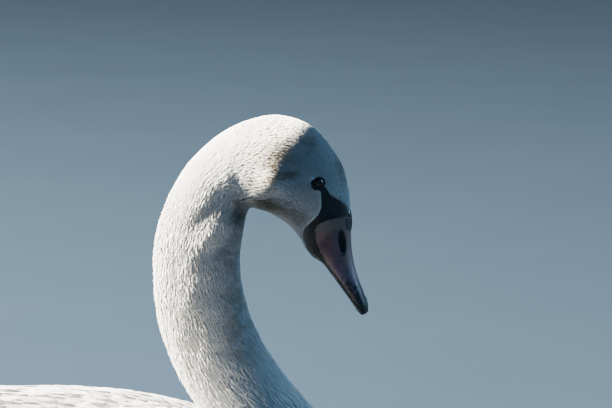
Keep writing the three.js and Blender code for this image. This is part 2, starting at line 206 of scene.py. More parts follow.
def between(values, index):
    """A smooth value at a fractional index of a list: the Catmull-Rom cubic through its four nearest."""
    values = np.asarray(values, float)
    index = np.asarray(index, float)
    last = len(values) - 1
    i = np.clip(np.floor(index).astype(int), 0, last - 1)
    t = (index - i)[..., None] if values.ndim > 1 else index - i
    a, b, c, d = (values[np.clip(i + k, 0, last)] for k in (-1, 0, 1, 2))
    return 0.5 * (2 * b + (c - a) * t + (2 * a - 5 * b + 4 * c - d) * t**2 + (3 * b - a - 3 * c + d) * t**3)


def smooth_step(low, high, value):
    """0 below low, 1 above high, and 3t^2 - 2t^3 between them."""
    t = np.clip((value - low) / (high - low), 0, 1)
    return t * t * (3 - 2 * t)


def smooth_mask(low, high, value):
    """The smooth step from low to high, which falls instead of rising where low is above high."""
    return smooth_step(low, high, value) if high > low else 1 - smooth_step(high, low, value)


def bell(x, z, x0, z0, wide, high, turn=0.0):
    """A bell of height 1 at x0, z0 that falls off as exp(-d^2), with d counted in wide along the axis turned
    by turn degrees and in high across it."""
    c, s = math.cos(math.radians(turn)), math.sin(math.radians(turn))
    along, across = (x - x0) * c + (z - z0) * s, (z - z0) * c - (x - x0) * s
    return np.exp(-((along / wide) ** 2) - (across / high) ** 2)


class Loft:
    """A surface through sections. At s along the list and angle a, the point is the middle of the section
    plus half its height times cos(a) and its half width times sin(a), both to the power 2 / squareness;
    relief then moves it sideways. Slopes are measured over small, and a row round it covers round_turn from
    round_start."""

    small, round_turn, round_start = 0.01, TURN, 0.0

    def __init__(self, table, side=0.0, relief=None, facing=1):
        self.table, self.side, self.relief, self.facing = np.array(table, float), side, relief, facing
        self.last = len(table) - 1

    def __call__(self, s, a):
        v = between(self.table, s)
        power = 2 / v[..., 6]
        up = np.sign(np.cos(a)) * np.abs(np.cos(a)) ** power
        out = np.sign(np.sin(a)) * np.abs(np.sin(a)) ** power
        x = (v[..., 0] + v[..., 2]) / 2 + (v[..., 0] - v[..., 2]) / 2 * up
        z = (v[..., 1] + v[..., 3]) / 2 + (v[..., 1] - v[..., 3]) / 2 * up
        y = v[..., 4] * out * (1 + v[..., 5] * up)
        if self.relief:
            y = y + self.relief(x, z) * np.clip(y / RELIEF_START, -1, 1)
        return np.stack([x - MIDDLE_X, y + self.side, z], -1)


class WingLoft(Loft):
    """The folded right wing: at s along the list, an oval across x with its middle, half across and half
    high, leaned over by its lean, and kept clear of the bird's middle plane."""

    def __call__(self, s, a):
        x, y, z, across, high, lean = np.moveaxis(between(self.table, s), -1, 0)
        lean = np.radians(lean)
        out, up = across * np.sin(a), high * np.cos(a)
        yy = y + out * np.cos(lean) + up * np.sin(lean)
        zz = z - out * np.sin(lean) + up * np.cos(lean)
        return np.stack([x - MIDDLE_X, np.minimum(yy, -WING_CLEAR), zz], -1)


class TailDeck:
    """The upper face of the spread tail: s millimetres back from its root and a millimetres to the left. The
    height is the tail table's upper line, less 1.2 mm and a droop with the square of a that fades to the
    tip."""

    root, last, facing = -190.0, 190.0, -1
    half_width, droop = 62.0, 13.0
    small, round_turn, round_start = 1.0, 130.0, 0.5

    def __call__(self, s, a):
        x = self.root - np.asarray(s, float)
        table = np.array(TAIL)[::-1]
        z = np.interp(x, table[:, 0], table[:, 1])
        fall = (np.asarray(a) / self.half_width) ** 2 * self.droop * np.clip(1.4 - s / self.last, 0, 1)
        return np.stack([x - MIDDLE_X, a + 0 * x, z - 1.2 - fall], -1)


def surface_frame(surface, s, a):
    """Point, unit way along s, unit normal, and millimetres per unit of s and of a, from small steps of
    both."""
    h = surface.small
    low, high = np.clip(s - h, 0, surface.last), np.clip(s + h, 0, surface.last)
    along = (surface(high, a) - surface(low, a)) / (high - low)[..., None]
    around = (surface(s, a + h) - surface(s, a - h)) / (2 * h)
    per_s = np.maximum(np.linalg.norm(along, axis=-1), 1e-6)
    per_a = np.maximum(np.linalg.norm(around, axis=-1), 1e-6)
    normal = np.cross(around, along) * surface.facing
    normal /= np.maximum(np.linalg.norm(normal, axis=-1), 1e-9)[..., None]
    return surface(s, a), along / per_s[..., None], normal, per_s, per_a


def face_relief(x, z):
    """Sideways millimetres added to the head and upper neck: the sum of the bells of FACE_FORMS."""
    return sum(height * bell(x, z, *form) for height, *form in FACE_FORMS)


body = Loft(BODY, relief=face_relief)
face = Loft(FACE, relief=face_relief, facing=-1)
knob = Loft(KNOB, facing=-1)
tail = Loft(TAIL)
right_leg = Loft(LEG, side=-LEG_SIDE, facing=-1)
right_wing = WingLoft(WING)
tail_deck = TailDeck()


def bare_face(x, z):
    """Millimetres inside the bare black skin, seen from the side: ahead of its rear edge and under its upper
    edge, or within a ring round the eye with a small corner behind it, or within a band from the eye down
    and ahead. The skin goes on for 0.9 mm under the feathers."""
    upper, rear = np.array(LORES_UPPER), np.array(LORES_REAR)
    ahead = x - np.interp(z, rear[:, 0], rear[:, 1])
    lores = np.minimum(ahead, np.interp(x, upper[:, 0], upper[:, 1], left=900) - z)
    dx, dz = x - EYE_SIDE[0], z - EYE_SIDE[1]
    eye_ring = np.maximum(6.2 - np.hypot(dx, dz * 1.08), 2.6 - np.hypot(dx + 4.1, dz - 2.6))
    run, fall = 8.0, 8.6  # the band's length ahead and down
    t = np.clip((dx * run - dz * fall) / (run**2 + fall**2), 0, 1)
    band = 2.7 - np.hypot(dx - run * t, dz + fall * t)
    return np.maximum(np.maximum(lores, eye_ring), band) + 0.9


# ---- meshes --------------------------------------------------------------------------------------

def write_values(mesh, values):
    """Attributes of a mesh's points, by name."""
    for key, value in values.items():
        mesh.attributes.new(key, "FLOAT", "POINT").data.foreach_set("value", value.astype(np.float32).ravel())


def put(name, points, faces, finish, slot=None, flat=None, maps=None, values=None):
    """A mesh object from points in millimetres and a list of index arrays, each with as many corners in
    every row. maps are UV maps by corner, values are attributes by point, and flat marks the faces that
    aren't smooth."""
    mesh = bpy.data.meshes.new(name)
    mesh.vertices.add(len(points))
    mesh.vertices.foreach_set("co", (np.asarray(points) * MM).astype(np.float32).ravel())
    corners = np.concatenate([f.ravel() for f in faces]).astype(np.int32)
    sizes = np.concatenate([np.full(len(f), f.shape[1]) for f in faces])
    mesh.loops.add(len(corners))
    mesh.loops.foreach_set("vertex_index", corners)
    mesh.polygons.add(len(sizes))
    mesh.polygons.foreach_set("loop_start", (np.cumsum(sizes) - sizes).astype(np.int32))
    mesh.polygons.foreach_set("use_smooth", np.full(len(sizes), True) if flat is None else ~flat)
    for key, uv in (maps or {}).items():
        mesh.uv_layers.new(name=key).data.foreach_set("uv", uv.astype(np.float32).ravel())
    write_values(mesh, values or {})
    mesh.update(calc_edges=True)
    mesh.materials.append(finish)
    piece = bpy.data.objects.new(name, mesh)
    bpy.context.scene.collection.objects.link(piece)
    if slot:
        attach(piece, "root")
    return piece


def grid_faces(rows, columns, closed=True, flip=False):
    """Four-cornered faces between neighbouring rows of a grid of points, and round to the first column if
    closed."""
    r, c = np.meshgrid(np.arange(rows - 1), np.arange(columns if closed else columns - 1), indexing="ij")
    a, b = r * columns + c, r * columns + (c + 1) % columns
    quads = np.stack([a, b, b + columns, a + columns], -1).reshape(-1, 4)
    return quads[:, ::-1] if flip else quads


def ring(count):
    """Angles evenly round a full turn."""
    return TURN * np.arange(count) / count


def shell(points, flip=False):
    """Points and faces of a closed skin over rings of points (rings, around, 3). Each end ring is closed by
    a fan to the middle of its points."""
    rows, around = points.shape[:2]
    k = np.arange(around)
    ends = np.stack([points[0].mean(0), points[-1].mean(0)])
    first, last = rows * around, rows * around + 1
    fans = np.concatenate([
        np.stack([np.full(around, first), (k + 1) % around, k], 1),
        np.stack([np.full(around, last), k + (rows - 1) * around, (k + 1) % around + (rows - 1) * around], 1),
    ])
    sides = grid_faces(rows, around, flip=flip)
    return np.concatenate([points.reshape(-1, 3), ends]), [sides, fans[:, ::-1] if flip else fans]


def skinned(surface, s, around, depth):
    """Rings of points on a surface, each moved in along its normal by depth(s, point)."""
    s, a = np.meshgrid(s, ring(around), indexing="ij")
    point, _, normal, _, _ = surface_frame(surface, s, a)
    return point - normal * depth(s, point)[..., None]


def mirror(points):
    """The points on the bird's other side."""
    return points * np.array([1, -1, 1])


# ---- roots and vanes -----------------------------------------------------------------------------

def scatter(surface, s_range, a_range, spacing, shift=0.0):
    """Roots spread evenly over a surface. Each cell of a fine grid should hold its area over the square of
    the spacing there. The plane's low-discrepancy row of numbers is carried through the running sums of that
    weight."""
    s, a = np.linspace(*s_range, 241), np.linspace(*a_range, 161)
    p = surface(*np.meshgrid(s, a, indexing="ij"))
    area = np.linalg.norm(np.cross(p[1:, :-1] - p[:-1, :-1], p[:-1, 1:] - p[:-1, :-1]), axis=-1)
    middle = np.meshgrid((s[1:] + s[:-1]) / 2, (a[1:] + a[:-1]) / 2, indexing="ij")
    weight = area / spacing(*middle) ** 2
    k = np.arange(int(weight.sum())) + 0.5 + shift
    u, v = (k * GOLDEN[0]) % 1, (k * GOLDEN[1]) % 1
    rows = np.concatenate([[0], np.cumsum(weight.sum(1))])
    place = np.interp(u * rows[-1], rows, np.arange(len(s)))
    i = np.minimum(place.astype(int), len(s) - 2)
    sums = np.cumsum(weight, 1)
    sums = np.concatenate([np.zeros((len(sums), 1)), sums], 1)
    sums /= sums[:, -1:]
    j = np.clip((sums[i] < v[:, None]).sum(1) - 1, 0, len(a) - 2)
    part = (v - sums[i, j]) / np.maximum(sums[i, j + 1] - sums[i, j], 1e-9)
    return np.interp(place, np.arange(len(s)), s), a[j] + part * (a[1] - a[0])


# Outlines across a feather as (way across, height): a tuft has a ridge, a vane is a thin lens on its shaft.
TUFT = np.array([(-1, 0), (0, 1), (1, 0)], float)
VANE = np.array([(-1, 0), (-0.5, 0.8), (0, 1), (0.5, 0.8), (1, 0), (0, -0.3)], float)


WHOLE_MAP = (0.02, 0.98)
PATCH = 0.003  # the size of a feather's patch on the map OFBake


def half_map(mirrored):
    """The half of the map's width for the roots of one side of the bird."""
    return (0.51, 0.98) if mirrored else (0.02, 0.49)


def vanes(surface, s, a, length, width, depth, steps, section=TUFT, thick=0.5, tip=0.55, point=0.2, yaw=0.0,
          rise=2.0, lift=0.0, cup=0.0, mirrored=False, room=WHOLE_MAP):
    """Many feathers laid along a surface. Each starts at its root, depth under the surface, and walks in
    steps along the surface's own s, turned by yaw, while it rises to lift above the surface as 1 - (1 -
    u)^rise. Its half width at share u is that of a blade: it swells from the root to tip, then closes as an
    ellipse to point of it. Three steps or more grow shorter to the tip. The sides drop by cup. Room is the
    share of the map's width that the roots are laid out on."""
    s, a = np.array(s, float), np.array(a, float)
    n, k = len(s), len(section)
    length, width, depth, yaw, lift, cup = (
        np.broadcast_to(np.asarray(v, float), (n,)) for v in (length, width, depth, yaw, lift, cup)
    )
    round_share = (a / surface.round_turn + surface.round_start) % 1
    root = np.stack([room[0] + (room[1] - room[0]) * s / surface.last, 0.02 + 0.96 * round_share], -1)
    rings = np.empty((n, steps + 1, k, 3))
    share = np.empty((steps + 1, k, 2))
    shares = 1 - (1 - np.linspace(0, 1, steps + 1)) ** (1.0 if steps < 3 else 1.5)
    across, up = section[:, 0], section[:, 1]
    for i, u in enumerate(shares):
        p, along, normal, per_s, per_a = surface_frame(surface, s, a)
        around = np.cross(along, normal)
        around *= np.sign(np.sum(around * (surface(s, a + 0.01) - p), -1))[:, None]
        ahead = along * np.cos(yaw)[:, None] + around * np.sin(yaw)[:, None]
        side = np.cross(normal, ahead)
        closing = math.sqrt(1 - (1 - point**2) * max((u - tip) / (1 - tip), 0) ** 2)
        half = width / 2 * ((0.35 + 0.65 * smooth_step(0, tip, u)) * closing)
        height = -depth + (depth + lift) * (1 - (1 - u) ** rise)
        height = height[:, None] + thick * up - cup[:, None] * across**2
        sideways = half[:, None] * across
        rings[:, i] = p[:, None] + normal[:, None] * height[..., None] + side[:, None] * sideways[..., None]
        share[i] = np.stack([across / 2 + 0.5, np.full(k, u)], -1)
        step = length * (shares[min(i + 1, steps)] - u)
        s = np.clip(s + step * np.cos(yaw) / per_s, 0, surface.last)
        a = a + step * np.sin(yaw) / per_a
    if mirrored:
        rings = mirror(rings)
    one = grid_faces(steps + 1, k)[:, ::-1]
    start = np.arange(n)[:, None, None] * (steps + 1) * k
    ends = np.stack([np.arange(k), np.arange(k)[::-1] + steps * k])
    quads, caps = (one[None] + start).reshape(-1, 4), (ends[None] + start).reshape(-1, k)
    if mirrored:
        quads, caps = quads[:, ::-1], caps[:, ::-1]
    lower_side = np.arange(k - (1 if section is TUFT else 2), k)
    flat = np.tile(np.isin(np.tile(np.arange(k), steps), lower_side), n)
    share = np.tile(share.reshape(1, -1, 2), (n, 1, 1))
    patch = root[:, None] + (share - 0.5) * PATCH
    tint = np.random.default_rng(n).random(n)
    return {
        "points": rings.reshape(-1, 3), "quads": quads, "caps": caps, "flat": flat,
        "share": share.reshape(-1, 2), "patch": patch.reshape(-1, 2),
        "tint": np.repeat(tint, (steps + 1) * k),
    }


def coat(name, finish, *parts):
    """One piece of coat: the feathers of all its parts in one mesh, each with its place across and along as
    the map Vane, a small patch at its root's place as the map OFBake, and a tint of its own."""
    points, quads, caps, flats, offset = [], [], {}, [], 0
    for part in parts:
        points.append(part["points"])
        quads.append(part["quads"] + offset)
        caps.setdefault(part["caps"].shape[1], []).append(part["caps"] + offset)
        flats.append(part["flat"])
        offset += len(part["points"])
    ends = [np.concatenate(c) for c in caps.values()]
    faces = [np.concatenate(quads), *ends]
    flat = np.concatenate([*flats, *(np.ones(len(e), bool) for e in ends)])
    corners = np.concatenate([f.ravel() for f in faces])
    share, patch, tint = (np.concatenate([part[key] for part in parts]) for key in ("share", "patch", "tint"))
    return put(name, np.concatenate(points), faces, finish, "plumage", flat=flat,
               maps={"OFBake": patch[corners], "Vane": share[corners]}, values={"tint": tint})


# ---- materials -----------------------------------------------------------------------------------

class Graph:
    """A node tree written as calls: add makes a node, with its inputs linked to sockets or set to plain
    values."""

    def __init__(self, tree):
        self.tree = tree

    def add(self, kind, inputs=None, **settings):
        node = self.tree.nodes.new(kind)
        for key, value in settings.items():
            setattr(node, key, value)
        for key, value in (inputs or {}).items():
            if isinstance(value, bpy.types.NodeSocket):
                self.tree.links.new(value, node.inputs[key])
            else:
                node.inputs[key].default_value = value
        return node

    def value(self, name):
        """A named value of the piece's points."""
        return self.add("ShaderNodeAttribute", attribute_name=name).outputs["Fac"]

    def math(self, operation, *values):
        return self.add("ShaderNodeMath", dict(enumerate(values)), operation=operation).outputs[0]

    def plus(self, a, b):
        return self.math("ADD", a, b)

    def less(self, a, b):
        return self.math("SUBTRACT", a, b)

    def times(self, a, b):
        return self.math("MULTIPLY", a, b)

    def mix(self, factor, a, b, blend="MIX"):
        """Colour a, with colour b laid over it by a factor from 0 to 1."""
        inputs = {0: factor, 6: a, 7: b}
        return self.add("ShaderNodeMix", inputs, data_type="RGBA", blend_type=blend).outputs[2]

    def band(self, value, low, high, start=0.0, end=1.0):
        """A soft step from start to end as the value goes from low to high."""
        inputs = {0: value, 1: low, 2: high, 3: start, 4: end}
        return self.add("ShaderNodeMapRange", inputs, interpolation_type="SMOOTHSTEP").outputs[0]

    def noise(self, vector, scale, detail=3.0, roughness=0.55):
        """Noise from 0 to 1 with scale cells to the metre."""
        inputs = {"Vector": vector, "Scale": scale, "Detail": detail, "Roughness": roughness}
        return self.add("ShaderNodeTexNoise", inputs).outputs[0]

    def stretch(self, vector, scale, turn=(0, 0, 0)):
        """Places scaled along each axis, and turned by radians, for a pattern with a grain."""
        return self.add("ShaderNodeMapping", {"Vector": vector, "Rotation": turn, "Scale": scale}).outputs[0]

    def use(self, group, inputs):
        """A node group placed with its own inputs."""
        return self.add("ShaderNodeGroup", inputs, node_tree=group)


def effect(name, inputs, outputs, build):
    """A shader node group: build takes its graph and named inputs and returns what its named outputs
    carry."""
    tree = bpy.data.node_groups.new(name, "ShaderNodeTree")
    kinds = {"v": "NodeSocketVector", "f": "NodeSocketFloat", "c": "NodeSocketColor"}
    for key, (kind, value) in inputs.items():
        socket = tree.interface.new_socket(key, in_out="INPUT", socket_type=kinds[kind])
        if value is not None:
            socket.default_value = value
    for key, kind in outputs.items():
        tree.interface.new_socket(key, in_out="OUTPUT", socket_type=kinds[kind])
    graph = Graph(tree)
    given, result = tree.nodes.new("NodeGroupInput"), tree.nodes.new("NodeGroupOutput")
    for key, socket in build(graph, given.outputs).items():
        tree.links.new(socket, result.inputs[key])
    return tree


def material(name, build, **constants):
    """A material: constants sit on its shader's own sockets, and what build(graph) names is linked."""
    made = bpy.data.materials.new(name)
    made.use_nodes = True
    shader = made.node_tree.nodes["Principled BSDF"]
    for key, value in constants.items():
        shader.inputs[key.replace("_", " ")].default_value = value
    graph = Graph(made.node_tree)
    for key, socket in build(graph).items():
        made.node_tree.links.new(socket, shader.inputs[key])
    return made


def own(graph):
    """The place on the piece, in metres."""
    return graph.add("ShaderNodeTexCoord").outputs["Object"]


def rgb(r, g, b):
    """An opaque colour."""
    return (r, g, b, 1.0)


def build_spot(g, given):
    """A soft patch on both sides of the bird: 1 at the centre and 0 where the distance, counted in sizes and
    shaken by noise, passes 1."""
    x, y, z = g.add("ShaderNodeSeparateXYZ", {0: given["Vector"]}).outputs
    folded = g.add("ShaderNodeCombineXYZ", {0: x, 1: g.math("ABSOLUTE", y), 2: z}).outputs[0]
    away = g.add("ShaderNodeVectorMath", {0: folded, 1: given["Centre"]}, operation="SUBTRACT").outputs[0]
    counted = g.add("ShaderNodeVectorMath", {0: away, 1: given["Size"]}, operation="DIVIDE").outputs[0]
    far = g.add("ShaderNodeVectorMath", {0: counted}, operation="LENGTH").outputs["Value"]
    wisps = g.noise(g.stretch(given["Vector"], (0.35, 1.0, 1.0), (0.0, 0.35, 0.0)), 330.0, 4.0)
    shaken = g.plus(far, g.times(g.less(wisps, 0.5), given["Shake"]))
    return {"Mask": g.band(shaken, 1.0, 0.25)}


SPOT = effect(
    "Soft patch",
    {"Vector": ("v", None), "Centre": ("v", (0, 0, 0)), "Size": ("v", (1, 1, 1)), "Shake": ("f", 0.5)},
    {"Mask": "f"}, build_spot,
)

# Washes on the white, each laid over those before it: colour, strength, how far it breaks up into streaks,
# and a patch as centre and size in metres, on both sides of the bird. Most are stains; some are painted shade.
WASHES_AND_PAINTED_SHADE = [
    (rgb(0.60, 0.52, 0.40), 0.70, 0.8, (0.2850, 0.034, 0.6500), (0.040, 0.050, 0.026)),  # crown, cream
    (rgb(0.40, 0.33, 0.22), 0.75, 0.5, (0.3170, 0.026, 0.6590), (0.012, 0.022, 0.013)),  # over the eye
    (rgb(0.34, 0.26, 0.16), 0.75, 0.3, (0.3430, 0.0, 0.6330), (0.010, 0.022, 0.028)),  # forehead
    (rgb(0.42, 0.32, 0.18), 0.85, 0.6, (0.2880, 0.033, 0.6475), (0.0170, 0.020, 0.0055)),  # ear
    (rgb(0.44, 0.29, 0.13), 0.75, 0.6, (0.2860, 0.033, 0.6395), (0.0190, 0.020, 0.0065)),  # ear
    (rgb(0.30, 0.20, 0.09), 0.85, 0.5, (0.2950, 0.033, 0.6310), (0.0170, 0.020, 0.0075)),  # ear
    (rgb(0.50, 0.38, 0.22), 0.65, 0.6, (0.2760, 0.033, 0.6250), (0.018, 0.020, 0.014)),  # cheek
    # painted shade on the neck under the hollow behind the jaw
    (rgb(0.30, 0.29, 0.27), 0.80, 0.3, (0.2575, 0.014, 0.5780), (0.0140, 0.026, 0.0300)),  # under the hollow
    # the jaw's brown stain, darkened as painted shade on the underside
    (rgb(0.26, 0.22, 0.14), 0.90, 0.3, (0.2900, 0.024, 0.5970), (0.026, 0.022, 0.012)),  # jaw
    # the chin's stain, darkened as painted shade on the underside
    (rgb(0.30, 0.28, 0.21), 0.80, 0.2, (0.3060, 0.020, 0.5900), (0.014, 0.020, 0.012)),  # chin
    (rgb(0.83, 0.76, 0.63), 0.55, 0.5, (0.2000, 0.020, 0.5200), (0.090, 0.070, 0.170)),  # neck, cream
    # front and side of the neck: partly stain, partly painted shade on its shaded front
    (rgb(0.42, 0.36, 0.26), 0.60, 0.9, (0.2550, 0.020, 0.5000), (0.026, 0.050, 0.090)),  # front of the neck
    (rgb(0.34, 0.33, 0.29), 0.70, 0.7, (0.2530, 0.020, 0.5620), (0.0300, 0.040, 0.0700)),  # side of the neck
    # brown stain under the cheek, darkened as painted shade
    (rgb(0.085, 0.062, 0.025), 1.00, 0.25, (0.2760, 0.029, 0.6035), (0.0280, 0.036, 0.0125)),  # jaw, dark
    # painted shadow in the hollow behind the jaw
    (rgb(0.035, 0.032, 0.022), 1.00, 0.0, (0.2560, 0.020, 0.5990), (0.0135, 0.040, 0.0250)),  # hollow
]


def build_markings_and_painted_shade(g, given):
    """White with a faint cloudiness and washes, each laid on through its patch and part broken up by
    streaks. Some washes are painted shade under the head and on the neck."""
    cloud = g.noise(given["Vector"], 14.0, 3.0)
    colour = g.mix(cloud, rgb(0.80, 0.79, 0.76), rgb(0.87, 0.865, 0.845))
    combed = g.stretch(given["Vector"], (0.42, 0.8, 1.5), (0, -0.35, 0))
    streak = g.band(g.noise(combed, 110.0, 3.0, 0.6), 0.38, 0.58)
    for wash, strength, broken, centre, size in WASHES_AND_PAINTED_SHADE:
        patch = {"Vector": given["Vector"], "Centre": centre, "Size": size, "Shake": 0.8}
        spot = g.use(SPOT, patch).outputs[0]
        part = g.plus(g.times(streak, strength * broken), strength * (1 - broken))
        colour = g.mix(g.times(spot, part), colour, wash)
    return {"Color": colour}


MARKINGS_AND_PAINTED_SHADE = effect("Plumage markings and painted shade", {"Vector": ("v", None)}, {"Color": "c"}, build_markings_and_painted_shade)


def build_barbs(g, given):
    """Height over a vane: a shaft down the middle, and barbs that slant off it, from the vane's own map."""
    uv = g.add("ShaderNodeSeparateXYZ", {0: given["Vane"]}).outputs
    off = g.math("ABSOLUTE", g.less(uv[0], 0.5))
    slant = g.less(g.times(uv[1], given["Barbs"]), g.times(off, given["Slant"]))
    barb = g.times(g.math("SINE", g.times(slant, TURN)), 0.5)
    frayed = g.noise(g.stretch(given["Vane"], (9.0, 2.0, 1.0)), 3.0, 4.0)
    shaft = g.times(g.band(off, 0.05, 0.0), given["Shaft"])
    height = g.plus(g.plus(g.times(barb, 0.25), frayed), shaft)
    return {"Height": height, "Shaft": g.band(off, 0.035, 0.01)}


BARBS = effect(
    "Feather barbs",
    {"Vane": ("v", None), "Barbs": ("f", 30.0), "Slant": ("f", 16.0), "Shaft": ("f", 0.6)},
    {"Height": "f", "Shaft": "f"}, build_barbs,
)


def build_pores(g, given):
    """Height of fine creased skin or worn horn: soft noise less the lines between small cells."""
    place = {"Vector": given["Vector"], "Scale": given["Scale"]}
    cells = g.add("ShaderNodeTexVoronoi", place, feature="DISTANCE_TO_EDGE").outputs[0]
    lines = g.band(cells, 0.0, 0.16)
    soft = g.noise(given["Vector"], g.times(given["Scale"], 0.4), 5.0)
    return {"Height": g.plus(g.times(lines, given["Cells"]), soft), "Lines": lines}


PORES = effect(
    "Fine skin", {"Vector": ("v", None), "Scale": ("f", 900.0), "Cells": ("f", 0.5)},
    {"Height": "f", "Lines": "f"}, build_pores,
)


def bump(g, height, strength, distance):
    """A normal shaken by a height, which is counted in distance metres."""
    return g.add("ShaderNodeBump", {"Height": height, "Strength": strength, "Distance": distance}).outputs[0]


PALE_SHAFT = 0.5  # a shaft that stands higher than this is coloured


def feather_finish(barbs, slant, shaft, strength, painted_root_shade):
    """Feather: the markings, a little darker towards the root as painted shade, a tint for each feather, barbs
    in relief, and a straw-coloured shaft where it stands out."""

    def build(g):
        place = own(g)
        vane = g.add("ShaderNodeUVMap", uv_map="Vane").outputs[0]
        tipward = g.add("ShaderNodeSeparateXYZ", {0: vane}).outputs[1]
        tint = g.value("tint")
        colour = g.use(MARKINGS_AND_PAINTED_SHADE, {"Vector": place}).outputs[0]
        # painted shade: each feather darker towards its root, times its own tint
        painted_shade_times_tint = g.times(g.band(tipward, 0.1, 0.75, painted_root_shade, 1.0), g.band(tint, 0.0, 1.0, 0.93, 1.0))
        shade_tint_colour = g.add("ShaderNodeCombineColor", {0: painted_shade_times_tint, 1: painted_shade_times_tint, 2: painted_shade_times_tint}).outputs[0]
        relief = g.use(BARBS, {"Vane": vane, "Barbs": barbs, "Slant": slant, "Shaft": shaft}).outputs
        shown = g.mix(1.0, colour, shade_tint_colour, "MULTIPLY")
        if shaft > PALE_SHAFT:
            shown = g.mix(g.times(relief[1], 0.35), shown, rgb(0.66, 0.60, 0.48))
        rough = g.band(relief[0], 0.2, 1.4, 0.62, 0.82)
        return {"Base Color": shown, "Roughness": rough, "Normal": bump(g, relief[0], strength, 0.0004)}

    return build


def skin_finish(g):
    """Down-covered skin with the coat's markings and painted shade, bare black skin ahead of the eye, and
    scaly legs.
    """
    place = own(g)
    bare = g.band(g.value("bare"), -0.35, 0.35)
    leg = g.band(g.value("leg"), 0.3, 0.7)
    web = g.value("web")
    pores = g.use(PORES, {"Vector": place, "Scale": 1100.0, "Cells": 0.35}).outputs
    tall = g.stretch(place, (1.0, 1.0, 0.62))
    scales = g.use(PORES, {"Vector": tall, "Scale": 330.0, "Cells": 1.2}).outputs
    net = g.use(PORES, {"Vector": place, "Scale": 520.0, "Cells": 0.9}).outputs
    scaly = g.plus(g.times(scales[0], g.less(1.0, web)), g.times(net[0], web))
    worn = g.noise(place, 90.0, 4.0)
    white = g.use(MARKINGS_AND_PAINTED_SHADE, {"Vector": place}).outputs[0]
    black = g.mix(g.noise(place, 420.0, 4.0), rgb(0.003, 0.0032, 0.004), rgb(0.010, 0.010, 0.012))
    leather = g.mix(g.band(worn, 0.35, 0.7), rgb(0.007, 0.0075, 0.0085), rgb(0.022, 0.0215, 0.0205))
    leather = g.mix(g.times(g.less(1.0, scales[1]), 0.7), leather, rgb(0.003, 0.003, 0.0035))
    down = g.noise(place, 700.0, 4.0)
    colour = g.mix(leg, g.mix(bare, white, black), leather)
    height = g.mix(leg, g.mix(bare, down, pores[0]), scaly)
    rough = g.less(0.85, g.math("MAXIMUM", g.times(bare, 0.40), g.times(leg, 0.20)))
    return {"Base Color": colour, "Roughness": rough, "Normal": bump(g, height, 0.55, 0.0005)}


def horn_finish(g):
    """Dusky salmon horn with black round it: browner up to the root, bluer down to the tip, with dull
    streaks and blotches, and specks that thicken towards the tip."""
    place = own(g)
    warm = g.value("horn")
    mottle = g.value("mottle")
    grain = g.noise(g.stretch(place, (1.0, 1.0, 0.35), (0, 0.5, 0)), 420.0, 5.0)
    cloud = g.noise(place, 130.0, 4.0)
    pink = g.mix(cloud, rgb(0.128, 0.054, 0.052), rgb(0.200, 0.098, 0.090))
    z = g.add("ShaderNodeSeparateXYZ", {0: place}).outputs[2]
    browner = g.band(g.plus(z, g.times(cloud, 0.010)), 0.5790, 0.5900, 0.0, 0.85)
    pink = g.mix(browner, pink, rgb(0.150, 0.115, 0.085))
    bluer = g.band(g.plus(z, g.times(cloud, 0.012)), 0.5640, 0.5420, 0.0, 0.75)
    pink = g.mix(bluer, pink, rgb(0.185, 0.092, 0.150))
    streaks = g.noise(g.stretch(place, (1.0, 1.0, 0.22), (0, 0.45, 0)), 900.0, 4.0)
    pink = g.mix(g.band(streaks, 0.45, 0.7, 0.0, 0.45), pink, rgb(0.085, 0.045, 0.045))
    blotches = g.noise(place, 160.0, 3.0)
    pink = g.mix(g.band(blotches, 0.50, 0.68, 0.0, 0.7), pink, rgb(0.120, 0.090, 0.080))
    black = g.mix(grain, rgb(0.004, 0.004, 0.0045), rgb(0.013, 0.012, 0.013))
    edge = g.plus(warm, g.times(g.less(g.noise(place, 640.0, 4.0), 0.5), 1.1))
    shown = g.band(edge, -0.25, 0.45)
    speckle = g.noise(g.stretch(place, (1.0, 1.0, 0.45), (0, 0.45, 0)), 330.0, 5.0)
    specks = g.band(g.plus(speckle, g.times(mottle, 0.42)), 0.60, 0.74)
    colour = g.mix(shown, black, g.mix(specks, pink, rgb(0.014, 0.011, 0.012)))
    height = g.plus(g.times(grain, 0.7), g.times(shown, 0.25))
    rough = g.less(g.band(grain, 0.3, 0.7, 0.52, 0.68), g.times(shown, 0.16))
    return {"Base Color": colour, "Roughness": rough, "Normal": bump(g, height, 0.35, 0.0004)}


def black_finish(scale, low, high):
    """Black skin or horn: two near blacks mixed by noise, with fine creases in relief."""

    def build(g):
        place = own(g)
        pores = g.use(PORES, {"Vector": place, "Scale": scale, "Cells": 0.4}).outputs
        worn = g.band(g.noise(place, 260.0, 5.0), 0.45, 0.75)
        return {
            "Base Color": g.mix(worn, rgb(0.003, 0.003, 0.0035), rgb(0.010, 0.0095, 0.0095)),
            "Roughness": g.band(pores[0], 0.2, 1.2, low, high),
            "Normal": bump(g, pores[0], 0.5, 0.0003),
        }

    return build


def eye_finish(g):
    """Dark brown iris with fine spokes round a black pupil, by the angle from the eye's axis."""
    off = g.value("off_axis")
    place = own(g)
    spokes = g.noise(place, 900.0, 3.0)
    iris = g.mix(spokes, rgb(0.020, 0.008, 0.004), rgb(0.070, 0.028, 0.012))
    rim = g.band(off, 0.70, 0.86)
    iris = g.mix(rim, iris, rgb(0.004, 0.003, 0.003))
    colour = g.mix(g.band(off, 0.36, 0.42), rgb(0.001, 0.001, 0.001), iris)
    return {"Base Color": colour, "Roughness": g.band(spokes, 0.0, 1.0, 0.04, 0.08)}


SHEEN = {  # how all plumage takes light
    "Sheen_Weight": 0.25, "Sheen_Roughness": 0.5, "Specular_IOR_Level": 0.25,
    "Subsurface_Weight": 0.7, "Subsurface_Scale": 0.005, "Subsurface_Radius": (1.0, 0.88, 0.76),
}
